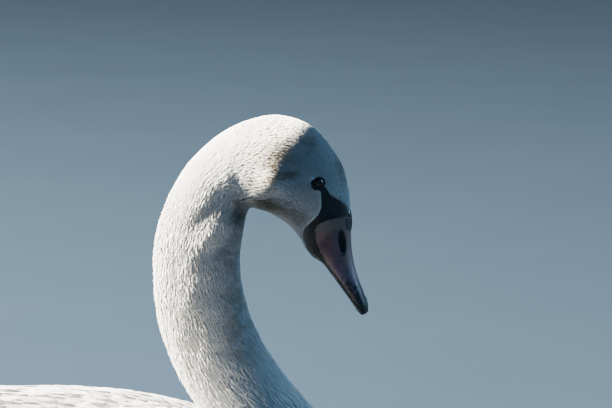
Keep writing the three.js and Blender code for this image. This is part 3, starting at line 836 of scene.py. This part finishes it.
# The last number of each feather finish sets its painted shade at the root.
short_feather = material("short plumage", feather_finish(6.0, 3.0, 0.3, 0.30, 0.90), **SHEEN)
body_feather = material("body plumage", feather_finish(26.0, 14.0, 0.35, 0.30, 0.92), **SHEEN)
flight_feather = material("flight plumage", feather_finish(70.0, 26.0, 1.0, 0.35, 0.92), **SHEEN)
skin = material("swan skin", skin_finish, Specular_IOR_Level=0.3)
horn = material("bill horn", horn_finish, Specular_IOR_Level=0.4)
black_skin = material("black skin", black_finish(1000.0, 0.52, 0.70), Specular_IOR_Level=0.25)
black_horn = material("black horn", black_finish(600.0, 0.36, 0.58), Specular_IOR_Level=0.35)
claw_horn = material("claw horn", black_finish(420.0, 0.32, 0.55), Specular_IOR_Level=0.5)
eye_wet = material("dark eye", eye_finish, Coat_Weight=0.4, Coat_Roughness=0.01, Specular_IOR_Level=0.3)


# ---- the skin ------------------------------------------------------------------------------------

def eye_place():
    """Centre of the right eye's ball, set against the solid by 1.4 mm back and 0.2 mm up, its radius, and
    the way out of the head there."""
    low, high = (np.array(corner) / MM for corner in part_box("eye_right"))
    centre, radius = (low + high) / 2 + (-1.4, 0, 0.2), (high - low).max() / 2
    s, a = np.meshgrid(np.linspace(0.5, HEAD_END, 181), np.linspace(math.pi, TURN, 181), indexing="ij")
    points = body(s, a)
    nearest = np.unravel_index(np.argmin(np.linalg.norm(points - centre, axis=-1)), s.shape)
    normal = surface_frame(body, s[nearest][None], a[nearest][None])[2][0]
    return centre, radius, normal


EYE_CENTRE, EYE_RADIUS, EYE_OUT = eye_place()


def from_eye(p):
    """Millimetres from the middle of an eye, seen from the side."""
    return np.hypot(p[..., 0] - EYE_CENTRE[0], p[..., 2] - EYE_CENTRE[2])


def body_depth(s, p):
    """The coat's depth on the body: by the table, thin on bare skin and round the eye."""
    depth = between(COAT_DEPTH, s)
    bare = smooth_mask(-1.2, 1.0, bare_face(p[..., 0] + MIDDLE_X, p[..., 2])) * (s < HEAD_END)
    depth = depth * (1 - bare) + 0.35 * bare
    near = smooth_mask(10, 7, from_eye(p)) * (np.abs(p[..., 1]) > FLANK) * (s < HEAD_END)
    return depth * (1 - near) + np.minimum(depth, 0.9) * near


def by_table(table):
    """A depth that follows a table alone."""
    return lambda s, p: between(table, s)


def turned_out(x, y, z, turn, root):
    """Points of the right foot from x along a toe, y across it and z, turned outwards by degrees about its
    root."""
    c, s = math.cos(math.radians(turn)), -math.sin(math.radians(turn))
    return np.stack([root[0] + x * c - y * s, root[1] + x * s + y * c, z], -1)


def toe_shell(turn, length):
    """A toe of the right foot: ovals along a straight line, thinner to the tip, swollen at the joints, with
    the part below the floor pressed flat onto it."""
    t, a = np.linspace(0, 1, 46)[:, None], ring(20)[None]
    joints = sum(bell(t, 0, at, 0, 0.055, 1) for at in TOE_JOINTS)
    tip = np.sqrt(np.clip(1.02 - np.clip((t - 0.94) / 0.07, 0, 1) ** 2 * 0.8, 0.1, 1))
    radius = (5.3 - 2.2 * t + 0.9 * joints) * tip
    z = np.maximum(4.4 - 1.6 * t + radius * np.cos(a) * 0.98, 0.0)
    y = radius * 1.12 * np.sin(a)
    return shell(turned_out(length * t + 0 * a, y, z, turn, FOOT), flip=True)


def web_shell(first, second):
    """The web between two toes: it runs from the root to a front edge that hangs back between the toe tips,
    and lies on the floor in low folds that spread from the root."""
    t = np.linspace(0.04, 1, 40)[:, None]
    w = np.linspace(0, 1, 25)[None]
    turn = np.radians(first[1] + (second[1] - first[1]) * w)
    length = first[2] + (second[2] - first[2]) * w
    reach = t * length * (0.965 - 0.13 * np.sin(math.pi * w) ** 0.8)
    fold = 0.35 * np.sin(math.pi * w * WEB_FOLDS) ** 2 * t + 0.5 * (np.abs(w - 0.5) * 2) ** 3
    top = 1.7 + fold - 0.5 * t
    x = FOOT[0] + reach * np.cos(turn)
    y = FOOT[1] - reach * np.sin(turn)
    over, under = np.stack([x, y, top + 0 * x], -1), np.stack([x, y, 0 * x + 0.02], -1)
    return shell(np.concatenate([over, under[:, ::-1]], 1), flip=True)


def hind_shell():
    """The small hind toe: a short taper that runs back and down from the leg."""
    t, a = np.linspace(0, 1, 16)[:, None], ring(14)[None]
    radius = (4.4 - 1.6 * t) * np.sqrt(np.clip(1 - np.clip((t - 0.8) / 0.24, 0, 1) ** 2, 0.08, 1))
    z = np.maximum(8.2 - 5.2 * t + radius * np.cos(a), 0.05)
    return shell(np.stack([FOOT[0] + 2 - 23 * t + 0 * a, FOOT[1] + radius * np.sin(a), z], -1))


def joined(name, shells, finish):
    """One closed mesh: the union of overlapping closed shells, made by the exact boolean."""
    pieces = [put(f"{name}_{i}", points, faces, finish) for i, (points, faces) in enumerate(shells)]
    parts = bpy.data.collections.new(name + "_parts")
    bpy.context.scene.collection.children.link(parts)
    for piece in pieces[1:]:
        bpy.context.scene.collection.objects.unlink(piece)
        parts.objects.link(piece)
    union = pieces[0].modifiers.new("union", "BOOLEAN")
    union.operation, union.solver = "UNION", "EXACT"
    union.operand_type, union.collection = "COLLECTION", parts
    mesh = bpy.data.meshes.new_from_object(pieces[0].evaluated_get(bpy.context.evaluated_depsgraph_get()))
    for piece in pieces:
        bpy.data.objects.remove(piece)
    bpy.data.collections.remove(parts)
    mesh.name = name
    whole = bpy.data.objects.new(name, mesh)
    bpy.context.scene.collection.objects.link(whole)
    return whole


def both(shell_of):
    """A shell and its mirror image on the bird's other side, with its faces turned to point outwards
    again."""
    points, faces = shell_of
    return [shell_of, (mirror(points), [f[:, ::-1] for f in faces])]


def positions(mesh):
    """The points of a mesh in millimetres."""
    found = np.empty(len(mesh.vertices) * 3, np.float32)
    mesh.vertices.foreach_get("co", found)
    return found.reshape(-1, 3).astype(float) / MM


def skin_shells():
    """The closed shells that the skin is joined from: body, wings, tail, legs, toes, webs and hind toes."""
    head = np.linspace(0, HEAD_END, 90)
    neck, trunk = np.linspace(HEAD_END, NECK_END, 76)[1:], np.linspace(NECK_END, RUMP, 84)[1:]
    counts = ((right_wing, 70), (tail, 30), (right_leg, 90))
    wing_rings, tail_rings, leg_rings = (np.linspace(0, surface.last, count) for surface, count in counts)
    shells = [
        shell(skinned(body, np.concatenate([head, neck, trunk]), 112, body_depth)),
        *both(shell(skinned(right_wing, wing_rings, 64, by_table(WING_DEPTH)))),
        shell(skinned(tail, tail_rings, 48, by_table(TAIL_DEPTH))),
        *both(shell(skinned(right_leg, leg_rings, 32, by_table(LEG_DEPTH)), flip=True)),
    ]
    for _, turn, length in TOES:
        shells += both(toe_shell(turn, length))
    for first, second in zip(TOES, TOES[1:]):
        shells += both(web_shell(first, second))
    return shells + both(hind_shell())


swan_skin = joined("swan_skin", skin_shells(), skin)
swan_skin.data.shade_smooth()
spots = positions(swan_skin.data)
bare = bare_face(spots[:, 0] + MIDDLE_X, spots[:, 2])
bare[(spots[:, 2] < 540) | (spots[:, 0] < 290)] = -50  # away from the face
leg = smooth_mask(116, 112, spots[:, 2])  # the leg is bare under the thigh's feathers
web = smooth_mask(4.2, 3.0, spots[:, 2])  # the webs lie lower than the toes
write_values(swan_skin.data, {"bare": bare, "leg": leg, "web": web})
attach(swan_skin, "root")
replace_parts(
    swan_skin, "head", "neck_upper", "neck_middle", "neck_lower", "trunk", "tail", "wing_right", "wing_left",
    "primaries_right", "primaries_left", "thigh_right", "thigh_left", "shank_right", "shank_left",
    "foot_right", "foot_left",
)

# ---- the bill ------------------------------------------------------------------------------------

def mouth_share(s):
    """How far down a section of the face the mouth crosses it, from 0 at its front to 1 at its back."""
    v = between(np.array(FACE, float), s)[..., None, :]
    t = np.linspace(0.3, 1, 141)  # the mouth is never higher than 0.3
    x, z = v[..., 0] + (v[..., 2] - v[..., 0]) * t, v[..., 1] + (v[..., 3] - v[..., 1]) * t
    mouth = np.array(MOUTH, float)[::-1]
    ahead = x > np.interp(z, mouth[:, 1], mouth[:, 0])
    return t[np.clip(ahead.sum(-1) - 1, 0, len(t) - 1)]


def mouth_angle(s):
    """The angle at which the mouth cuts a section, counted from its front."""
    square = between(np.array(FACE, float), s)[..., 6]
    up = 1 - 2 * np.minimum(mouth_share(s), 0.985)
    return np.arccos(np.sign(up) * np.abs(up) ** (square / 2))


def horn_inside(x, z):
    """Millimetres inside the edge of the horn, towards the tip."""
    edge = np.array(HORN_EDGE, float)
    rear, top = edge[:HORN_CORNER + 1], edge[HORN_CORNER:]
    corner_x, corner_z = edge[HORN_CORNER]
    behind_corner = np.minimum(x - np.interp(z, rear[:, 1], rear[:, 0]), corner_z - z)
    return np.where(x > corner_x, np.interp(x, top[:, 0], top[:, 1]) - z, behind_corner)


def closing_rows(p, count):
    """Rows of points straight across from the last row of each ring to its first, between the two, and their
    shares of the way."""
    w = np.linspace(0, 1, count)[1:-1][None, :, None]
    return p[:, -1:] * (1 - w) + p[:, :1] * w, w


def with_palate(value, palate, inner):
    """A value by point of a shell: given on the outside, and inner on the palate and on the two end
    points."""
    rows = np.concatenate([value, np.full(palate.shape[:2], inner)], 1)
    return np.concatenate([rows.ravel(), [inner, inner]])


def upper_bill():
    """The upper bill: the face loft ahead of the horn's edge and above the mouth, sunk under the skin behind
    that edge, with a rounded cutting edge, a palate, and a long nostril pressed in on each side. Its value
    horn counts millimetres inside the coloured horn, out of the black rim, root, knob and nostril, and
    mottle grows to 1 at the tip."""
    s = np.concatenate([np.linspace(0.55, 2.6, 80), np.linspace(2.6, 9, 130)[1:]])
    edge = mouth_angle(s) - 0.02
    grid_s, v = np.meshgrid(s, np.linspace(-1, 1, 121), indexing="ij")
    p, _, normal, _, _ = surface_frame(face, grid_s, v * edge[:, None])
    x, z, off_side = p[..., 0] + MIDDLE_X, p[..., 2], np.abs(p[..., 1])
    inside = horn_inside(x, z)
    slot = bell(x, z, *NOSTRIL) * (off_side > 3)
    to_edge = (1 - np.abs(v)) * edge[:, None] * 16
    lift = -2.8 + 3.15 * smooth_step(-0.9, 0.7, inside) - 3.2 * smooth_step(0.50, 0.86, slot)
    lift += 0.35 * bell(to_edge, 0, 1.0, 0, 0.9, 1) - 0.25 * bell(to_edge, 0, 3.0, 0, 1.0, 1)
    p = p + normal * lift[..., None]
    flat, w = closing_rows(p, 22)
    up = surface_frame(face, s, np.zeros(len(s)))[2][:, None]
    palate = flat + up * (0.9 * np.sin(math.pi * w) ** 0.5)
    rim = to_edge - between(BLACK_RIM, grid_s)
    slot_edge = (0.42 - slot) * 8
    knob_skin = (np.hypot((x - 361.4) / 6.0, (z - 586.8) / 9.4) - 1) * 6.0
    warm = np.minimum.reduce([inside - 1.1, rim, slot_edge, knob_skin])
    tipward = smooth_step(548, 506, z)
    values = {"horn": with_palate(warm, palate, -3.0), "mottle": with_palate(tipward, palate, 0.0)}
    return *shell(np.concatenate([p, palate], 1)), values


def lower_bill():
    """The lower bill: the same loft behind the mouth, a little narrower, with a flat top inside the upper
    bill."""
    s = np.linspace(1.75, 8.9, 120)
    edge = mouth_angle(s) + 0.03
    v = np.linspace(0, 1, 61)
    grid_s, grid_v = np.meshgrid(s, v, indexing="ij")
    a = edge[:, None] * (1 - grid_v) + (TURN - edge[:, None]) * grid_v
    p, _, normal, _, _ = surface_frame(face, grid_s, a)
    groove = bell(grid_v, 0, 0.5, 0, 0.12, 1) * 0.5 * smooth_step(2.5, 5, grid_s)
    p = p + normal * (0.9 * smooth_step(2.2, 3.4, grid_s) - 0.25 - groove)[..., None]
    p = p * NARROW
    return shell(np.concatenate([p, closing_rows(p, 18)[0]], 1))


def nail_shell():
    """The nail: a shield on the tip of the upper bill, highest down its middle, its edge sunk into the
    bill."""
    start, end = 7.15, 8.985
    s, v = np.meshgrid(np.linspace(start, end, 44), np.linspace(-1, 1, 41), indexing="ij")
    t = (s - start) / (end - start)
    wide = 1.5 * np.clip(t / 0.45, 0, 1) ** 0.5 * (1 - 0.1 * t)
    p, _, normal, _, _ = surface_frame(face, s, v * wide)
    lift = -0.5 + 1.5 * np.sqrt(np.clip(1 - v**2, 0, 1)) * smooth_step(0, 0.22, t)
    over = p + normal * lift[..., None]
    under = p - normal * 1.2
    return shell(np.concatenate([over, under[:, ::-1]], 1))


points, faces, values = upper_bill()
bill_upper = put("bill_upper_horn", points, faces, horn, "bill", values=values)
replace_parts(bill_upper, "bill_upper")
bill_lower = put("bill_lower_horn", *lower_bill(), black_horn, "black_skin")
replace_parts(bill_lower, "bill_lower")
bill_nail = put("bill_nail_horn", *nail_shell(), black_horn, "black_skin")
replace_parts(bill_nail, "bill_nail")
knob_rings = knob(*np.meshgrid(np.linspace(0, knob.last, 36), ring(40), indexing="ij"))
bill_knob = put("bill_knob_skin", *shell(knob_rings), black_skin, "black_skin")
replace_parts(bill_knob, "bill_knob")

# ---- eyes ----------------------------------------------------------------------------------------

def eye_axes():
    """The way out of the eye, the way ahead across it and the way up over it."""
    ahead = np.cross(np.array([0, 0, 1.0]), EYE_OUT)
    ahead /= np.linalg.norm(ahead)
    ahead *= np.sign(ahead[0])
    up = np.cross(ahead, EYE_OUT)
    return EYE_OUT, ahead, up * np.sign(up[2])


def round_eye(off, a, radius):
    """Points at a radius from the eye's centre, off its axis by the angle off and round it by a from
    ahead."""
    out, ahead, up = eye_axes()
    across = np.cos(a)[..., None] * ahead + np.sin(a)[..., None] * up
    return EYE_CENTRE + (np.cos(off)[..., None] * out + np.sin(off)[..., None] * across) * radius[..., None]


def eye_ball():
    """The ball as rings round its axis, with a cornea that bulges over the iris, and the angle off the
    axis."""
    off, a = np.linspace(0.02, math.pi - 0.02, 56)[:, None], ring(48)[None]
    radius = EYE_RADIUS - 0.25 + 0.45 * smooth_step(0.75, 0.2, off)
    off_axis = np.broadcast_to(off, (off.size, a.size)).ravel()
    return round_eye(off, a, radius), np.concatenate([off_axis, [0, math.pi]])


def lid_rim():
    """The naked rim of the lids: a tube round an almond on the ball, longer to the front and thicker
    above."""
    a, b = ring(72)[:, None], ring(16)[None]
    almond = 0.80 - 0.14 * np.abs(np.sin(a)) + 0.10 * np.clip(np.cos(a), 0, 1) ** 6
    thick = 0.85 + 0.18 * np.clip(np.sin(a), 0, 1) + 0.06 * np.sin(9 * a)
    off = almond + thick / EYE_RADIUS * (0.35 - np.cos(b))
    radius = EYE_RADIUS + 0.15 + thick * 0.75 * np.sin(b)
    tilt = 0.12
    rings = round_eye(off, a - tilt, radius)
    return rings.reshape(-1, 3), [grid_faces(a.size + 1, b.size) % (a.size * b.size)]


ball, off_axis = eye_ball()
for side, (round_ball, lids) in zip(("right", "left"), zip(both(shell(ball)), both(lid_rim()))):
    eye = put(f"eye_ball_{side}", *round_ball, eye_wet, "eye", values={"off_axis": off_axis})
    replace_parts(eye, f"eye_{side}")
    put(f"eyelids_{side}", *lids, black_skin, "black_skin")

# ---- claws ---------------------------------------------------------------------------------------

def claw_shell(root, turn, length, radius, drop):
    """A claw: ovals that shrink as the root of what is left, along an arc that bends down to the floor."""
    t, a = np.linspace(0, 1, 22)[:, None], ring(16)[None]
    size = radius * np.sqrt(np.clip(1.02 - t**1.4, 0.008, 1))
    middle = -drop * t**2 + 0.5 * radius * np.sin(math.pi * t)
    z = np.maximum(root[2] + (middle + size * np.cos(a)), 0.02)
    return shell(turned_out(length * t - 1.5 + 0 * a, size * 0.85 * np.sin(a), z, turn, root), flip=True)


def claws(name, tip, turn, length, radius, drop):
    """The claw of one toe on both feet."""
    for side, (points, faces) in zip(("right", "left"), both(claw_shell(tip, turn, length, radius, drop))):
        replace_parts(put(f"claw_{name}_horn_{side}", points, faces, claw_horn, "claw"), f"claw_{name}_{side}")


for name, turn, length in TOES:
    claws(name, (*turned_out(length, 0, 0, turn, FOOT)[:2], 3.5), turn, length=14, radius=2.7, drop=2.4)
claws("hind", (FOOT[0] - 20, FOOT[1], 3.2), 180, length=9, radius=1.9, drop=1.6)

# ---- the coat ------------------------------------------------------------------------------------

def by_place(*pairs):
    """A function of the place along a surface that runs straight between (place, value) pairs."""
    places, values = zip(*pairs)
    return lambda s, a=None: np.interp(s, places, values)


# Millimetres by place along the body: the length and width of its feathers, and the distance between roots.
COAT_LENGTH = by_place(
    (0, 5.5), (1, 6.2), (3, 7.6), (5, 9), (7, 10.2), (9, 11), (11, 11.6), (14, 13),
    (15, 15.5), (16, 20), (18, 28), (20, 34), (23, 38), (26, 40), (29, 30),
)
COAT_WIDTH = by_place(
    (0, 1.4), (3, 1.8), (5, 2.2), (8, 2.35), (11, 2.5), (14, 3.0), (15, 4.2),
    (16, 6.2), (18, 10), (20, 13), (23, 16), (26, 15), (29, 10),
)
COAT_SPACING = by_place(
    (0, 1.0), (3, 1.15), (5, 1.3), (8, 1.35), (11, 1.4), (14, 1.65), (15, 2.2),
    (16, 3.2), (18, 5.2), (20, 7.0), (23, 8.0), (26, 7.6), (29, 5.5),
)
# How far tips stay under the solids, how much they stray up and down, how much the whole coat waves, and
# where the rear of the neck has loose tips.
SUNK = by_place((0, 0.15), (4, 0.4), (8, 0.9), (14, 1.3), (20, 1.0), (29, 0.8))
STRAY = by_place((0, 0.05), (4, 0.1), (8, 0.2), (13, 0.3), (15, 0.28), (29, 0.3))
WAVES = by_place((0, 0), (5, 0.1), (7, 0.4), (12, 0.6), (14.5, 0.35), (16, 0))
FRINGE = by_place((7, 0), (9, 1), (13, 1), (14.5, 0))
UNDER_WING = 15  # millimetres inside a wing's outline where the body has no feathers


def swirl(p, size, seed):
    """A smooth field from -1 to 1: the product of two sines along slanted lines, size millimetres apart."""
    x, y, z = np.moveaxis(p, -1, 0)
    return np.sin((x + 0.7 * z + seed * 31) / size) * np.sin((z - 0.6 * x + 0.8 * y + seed * 17) / size * 1.3)


def in_wing(p, margin):
    """True inside either folded wing made smaller all round by margin millimetres."""
    table = np.array(WING, float)
    x = p[..., 0] + MIDDLE_X
    place = np.interp(-x, -table[:, 0], np.arange(len(table)))
    _, y, z, across, high, lean = np.moveaxis(between(table, place), -1, 0)
    lean = np.radians(lean)
    dy, dz = -np.abs(p[..., 1]) - y, p[..., 2] - z
    out, up = dy * np.cos(lean) - dz * np.sin(lean), dy * np.sin(lean) + dz * np.cos(lean)
    inside = (out / np.maximum(across - margin, 1)) ** 2 + (up / np.maximum(high - margin, 1)) ** 2 < 1
    return inside & (x < table[0, 0]) & (x > -300)


def body_coat(name, start, end, steps, section, thick, seed, finish, wild, tip=0.45, point=0.12):
    """The coat between two places along the body: feathers sized by the tables above, none on bare skin, on
    the eyes or under the wings, each turned a little by chance and by a smooth field, and some lifted."""
    chance = np.random.default_rng(seed)
    s, a = scatter(body, (start, end), (0, TURN), COAT_SPACING, shift=seed * 0.31)
    p, _, _, per_s, _ = surface_frame(body, s, a)
    feathered = (bare_face(p[:, 0] + MIDDLE_X, p[:, 2]) < 1.2) | (s > HEAD_END)
    keep = feathered & ~in_wing(p, UNDER_WING)
    s, a, p, per_s = s[keep], a[keep], p[keep], per_s[keep]
    n = len(s)
    length = COAT_LENGTH(s) * chance.uniform(0.75, 1.25, n)
    ends = body(np.clip(s + length / per_s, 0, RUMP), a)
    reaches_eye = (from_eye(ends) < 6.6) & (s < HEAD_END) & (np.abs(p[:, 1]) > FLANK)
    length = np.where(reaches_eye, np.clip(from_eye(p) - 5.4, 1.2, length), length)
    lift = STRAY(s) * chance.normal(0.0, 1.0, n) * wild - SUNK(s)
    lift += WAVES(s) * swirl(p, 9.0, seed) * wild
    fringe = np.interp(np.cos(a), [0.5, 0.95], [0, 1]) * FRINGE(s)
    lift += fringe * chance.uniform(0, 2.6, n) * (chance.random(n) > 0.5)
    yaw = chance.normal(0, 0.12, n) * wild + 0.2 * wild * swirl(p, 17.0, seed + 3)
    width = COAT_WIDTH(s) * chance.uniform(0.8, 1.2, n)
    part = vanes(body, s, a, length, width, body_depth(s, p) + 0.3, steps, section, thick, tip=tip,
                 point=point, yaw=yaw, rise=2.2 if end < 16 else 3.0, lift=lift,
                 cup=COAT_WIDTH(s) ** 2 * 0.001)
    return coat(name, finish, part)


body_coat("coat_face", 0.0, 2.7, 2, TUFT, 0.07, 1, short_feather, wild=0.6)
body_coat("coat_nape", 2.65, 5.2, 2, TUFT, 0.1, 6, short_feather, wild=0.65)
body_coat("coat_neck_upper", 5.15, 9.2, 2, TUFT, 0.12, 2, short_feather, wild=0.65)
body_coat("coat_neck_middle", 9.15, 12.2, 2, TUFT, 0.16, 3, short_feather, wild=0.65)
body_coat("coat_neck_lower", 12.15, 15.0, 2, TUFT, 0.2, 8, short_feather, wild=0.7)
body_coat("coat_breast", 14.8, 19.5, 3, TUFT, 0.4, 4, body_feather, wild=0.6)
body_coat("coat_body", 19.4, 28.6, 4, TUFT, 0.5, 5, body_feather, wild=0.5, tip=0.5, point=0.15)


WING_LENGTH = by_place((0, 24), (1, 34), (2, 48), (3, 66), (4, 84), (5, 100))
WING_WIDTH = by_place((0, 17), (1, 21), (2, 26), (3, 31), (4, 36), (5, 38))
WING_SPACING = by_place((0, 6), (1, 7.2), (2, 8.6), (3, 10.2), (4, 12), (5, 13))


def wing_row(
    s, a_degrees, length, width, steps, seed, mirrored, lift, depth, cup, spread, tip=0.6, point=0.15,
):
    """One row of wing feathers with roots at the given places."""
    chance = np.random.default_rng(seed + 50 * mirrored)
    s, a = np.broadcast_arrays(np.asarray(s, float), np.radians(np.asarray(a_degrees, float)))
    n = len(s)
    s, a = s + chance.normal(0, 0.02, n), a + chance.normal(0, 0.012, n)
    length, width = length * chance.uniform(0.95, 1.05, n), width * chance.uniform(0.95, 1.05, n)
    yaw, lift = chance.normal(0, spread, n), lift + chance.normal(0, 0.3, n)
    return vanes(right_wing, s, a, length, width, depth, steps, VANE, 0.7, tip=tip, point=point,
                 yaw=yaw, rise=1.7, lift=lift, cup=cup, mirrored=mirrored, room=half_map(mirrored))


def wing_coverts(seed, mirrored):
    """Coverts over the whole outer face and top of a folded wing, longer and wider towards its tip."""
    chance = np.random.default_rng(seed + 50 * mirrored)
    s, a = scatter(right_wing, (0.05, 4.9), (math.radians(165), math.radians(395)), WING_SPACING, shift=seed)
    ahead = s < 3.7 + 0.9 * smooth_step(math.radians(250), math.radians(345), a)  # of the flight feathers
    s, a = s[ahead], a[ahead]
    n = len(s)
    length = WING_LENGTH(s) * chance.uniform(0.88, 1.12, n)
    width = WING_WIDTH(s) * chance.uniform(0.9, 1.1, n)
    yaw, lift = chance.normal(0, 0.045, n), chance.normal(0.1, 0.12, n)
    return vanes(right_wing, s, a, length, width, between(WING_DEPTH, s) + 0.6, 9, VANE, 0.4, tip=0.6,
                 point=0.15, yaw=yaw, rise=3.0, lift=lift, cup=WING_WIDTH(s) ** 2 * 0.0011, mirrored=mirrored,
                 room=half_map(mirrored))


def flight_feathers(mirrored):
    """The long feathers of a folded wing: tertials over the rump, secondaries along the lower edge, and
    primaries to the tip."""
    k = np.arange(9)
    tertials = wing_row(
        4.25 + 0.09 * k, 374 - 9 * k, 212 - 7 * k, 40, 14, 21, mirrored,
        lift=1.0 - 0.12 * k, depth=3.6, cup=1.6, spread=0.02,
    )
    k = np.arange(15)
    secondaries = wing_row(
        3.5 + 0.045 * k, 192 + 7.6 * k, 168 + 4.5 * k, 34, 14, 22, mirrored,
        lift=-1.4 + 0.14 * k, depth=4.4, cup=1.3, spread=0.015,
    )
    k = np.arange(10)
    primaries = wing_row(
        6.2 + 0.13 * k, 350 - 13 * k, 190 - 15 * k, 24, 12, 23, mirrored,
        lift=0.4, depth=2.6, cup=1.0, spread=0.02, tip=0.5, point=0.12,
    )
    return [tertials, secondaries, primaries]


for side, mirrored in (("right", False), ("left", True)):
    coat(f"coat_wing_{side}", body_feather, wing_coverts(7, mirrored))
    coat(f"flight_feathers_{side}", flight_feather, *flight_feathers(mirrored))


def tail_coat():
    """The tail: feathers fanned over the deck, the middle ones longest and on top, and coverts over and
    under them."""
    chance = np.random.default_rng(31)
    k = np.arange(22) - 10.5
    fan = np.abs(k) / 10.5
    tail_feathers = vanes(
        tail_deck, 30 + 10 * fan, k * 4.4, 146 - 52 * fan**1.6, 30 - 4 * fan, 3.0, 9, VANE, 0.8, tip=0.65,
        point=0.2, yaw=0.030 * k, rise=1.5, lift=2.4 - 3.6 * fan, cup=1.6,
    )
    s, a = scatter(tail, (0.02, 2.2), (0, TURN), lambda s, a: 13 + 0 * s, shift=0.4)
    n = len(s)
    length, yaw, lift = chance.uniform(48, 66, n), chance.normal(0, 0.08, n), chance.normal(0.5, 0.4, n)
    coverts = vanes(tail, s, a, length, 25.0, between(TAIL_DEPTH, s) + 0.5, 7, VANE, 0.5, tip=0.6, point=0.15,
                    yaw=yaw, rise=1.8, lift=lift, cup=0.8)
    coat("coat_tail", body_feather, coverts)
    coat("tail_feathers", flight_feather, tail_feathers)


tail_coat()


def thigh_coat(mirrored):
    """Short feathers down the thigh, which end in a soft edge over the bare leg."""
    chance = np.random.default_rng(41 + mirrored)
    s, a = scatter(right_leg, (0.0, 3.9), (0, TURN), by_place((0, 8), (2, 5.5), (4, 2.6)), shift=0.7)
    n = len(s)
    length = by_place((0, 26), (3, 14), (4, 7))(s) * chance.uniform(0.8, 1.2, n)
    width = by_place((0, 13), (3, 8), (4, 4))(s)
    yaw, lift = chance.normal(0, 0.12, n), chance.normal(0.5, 0.5, n)
    return vanes(right_leg, s, a, length, width, between(LEG_DEPTH, s) + 0.4, 4, VANE, 0.4, tip=0.5,
                 point=0.15, yaw=yaw, rise=1.8, lift=lift, cup=0.3, mirrored=mirrored,
                 room=half_map(mirrored))


coat("coat_thighs", body_feather, thigh_coat(False), thigh_coat(True))

# ---- floor, light and camera ---------------------------------------------------------------------

def floor_finish(g):
    """A plain floor, faintly clouded and matt."""
    place = own(g)
    soft = g.noise(place, 3.0, 4.0)
    return {
        "Base Color": g.mix(soft, rgb(0.0130, 0.0250, 0.0420), rgb(0.0152, 0.0290, 0.0475)),
        "Roughness": g.band(g.noise(place, 160.0, 3.0), 0.3, 0.7, 0.78, 0.92),
        "Normal": bump(g, g.noise(place, 500.0, 3.0), 0.05, 0.0005),
    }


def floor_plane(reach=30000, count=41):
    """A flat grid of points, a little under the soles."""
    x, y = np.meshgrid(np.linspace(-reach, reach, count), np.linspace(-reach, reach, count), indexing="ij")
    return np.stack([x, y, 0 * x - 0.4], -1).reshape(-1, 3), [grid_faces(count, count, closed=False)]


put("floor", *floor_plane(), material("pale floor", floor_finish, Specular_IOR_Level=0.1))


LAMPS_AIM = Vector((0.05, 0, 0.40))


def lamp(name, towards, distance, size, power, colour):
    """A soft round lamp that shines at the middle of the bird from the given side, in metres and watts."""
    light = bpy.data.lights.new(name, "AREA")
    light.shape, light.size, light.energy, light.color = "DISK", size, power, colour
    holder = bpy.data.objects.new(name, light)
    bpy.context.scene.collection.objects.link(holder)
    way = Vector(towards).normalized()
    holder.location = LAMPS_AIM + way * distance
    holder.rotation_euler = (-way).to_track_quat("-Z", "Y").to_euler()
    holder.visible_camera = False


lamp("sun", (-0.86, 0.085, 0.47), 8.0, 1.5, 20500, (1.0, 0.915, 0.79))
lamp("sky", (0.60, -0.65, 0.45), 4.0, 3.0, 25, (0.07, 0.43, 1.0))
lamp("rim", (0.85, 0.35, 0.40), 4.0, 3.0, 105, (0.40, 0.70, 1.0))

room = bpy.data.worlds.new("pale room")
bpy.context.scene.world = room
room.use_nodes = True
glow = room.node_tree.nodes["Background"].inputs
glow["Color"].default_value = (0.16, 0.50, 1.0, 1)
glow["Strength"].default_value = 0.085

TARGET = Vector((0.3124, 0.0, 0.6011))  # the middle of the frame, in metres
ELEVATION = math.radians(8)
AWAY = 4.0  # metres from the camera to the target
lens = bpy.data.cameras.new("camera")
lens.lens, lens.sensor_width, lens.sensor_fit = 267.4, 36.0, "HORIZONTAL"
lens.clip_start, lens.clip_end = 0.05, 200
camera = bpy.data.objects.new("camera", lens)
bpy.context.scene.collection.objects.link(camera)
camera.location = TARGET + Vector((0, -math.cos(ELEVATION), math.sin(ELEVATION))) * AWAY
camera.rotation_euler = (TARGET - camera.location).to_track_quat("-Z", "Y").to_euler()
bpy.context.scene.camera = camera
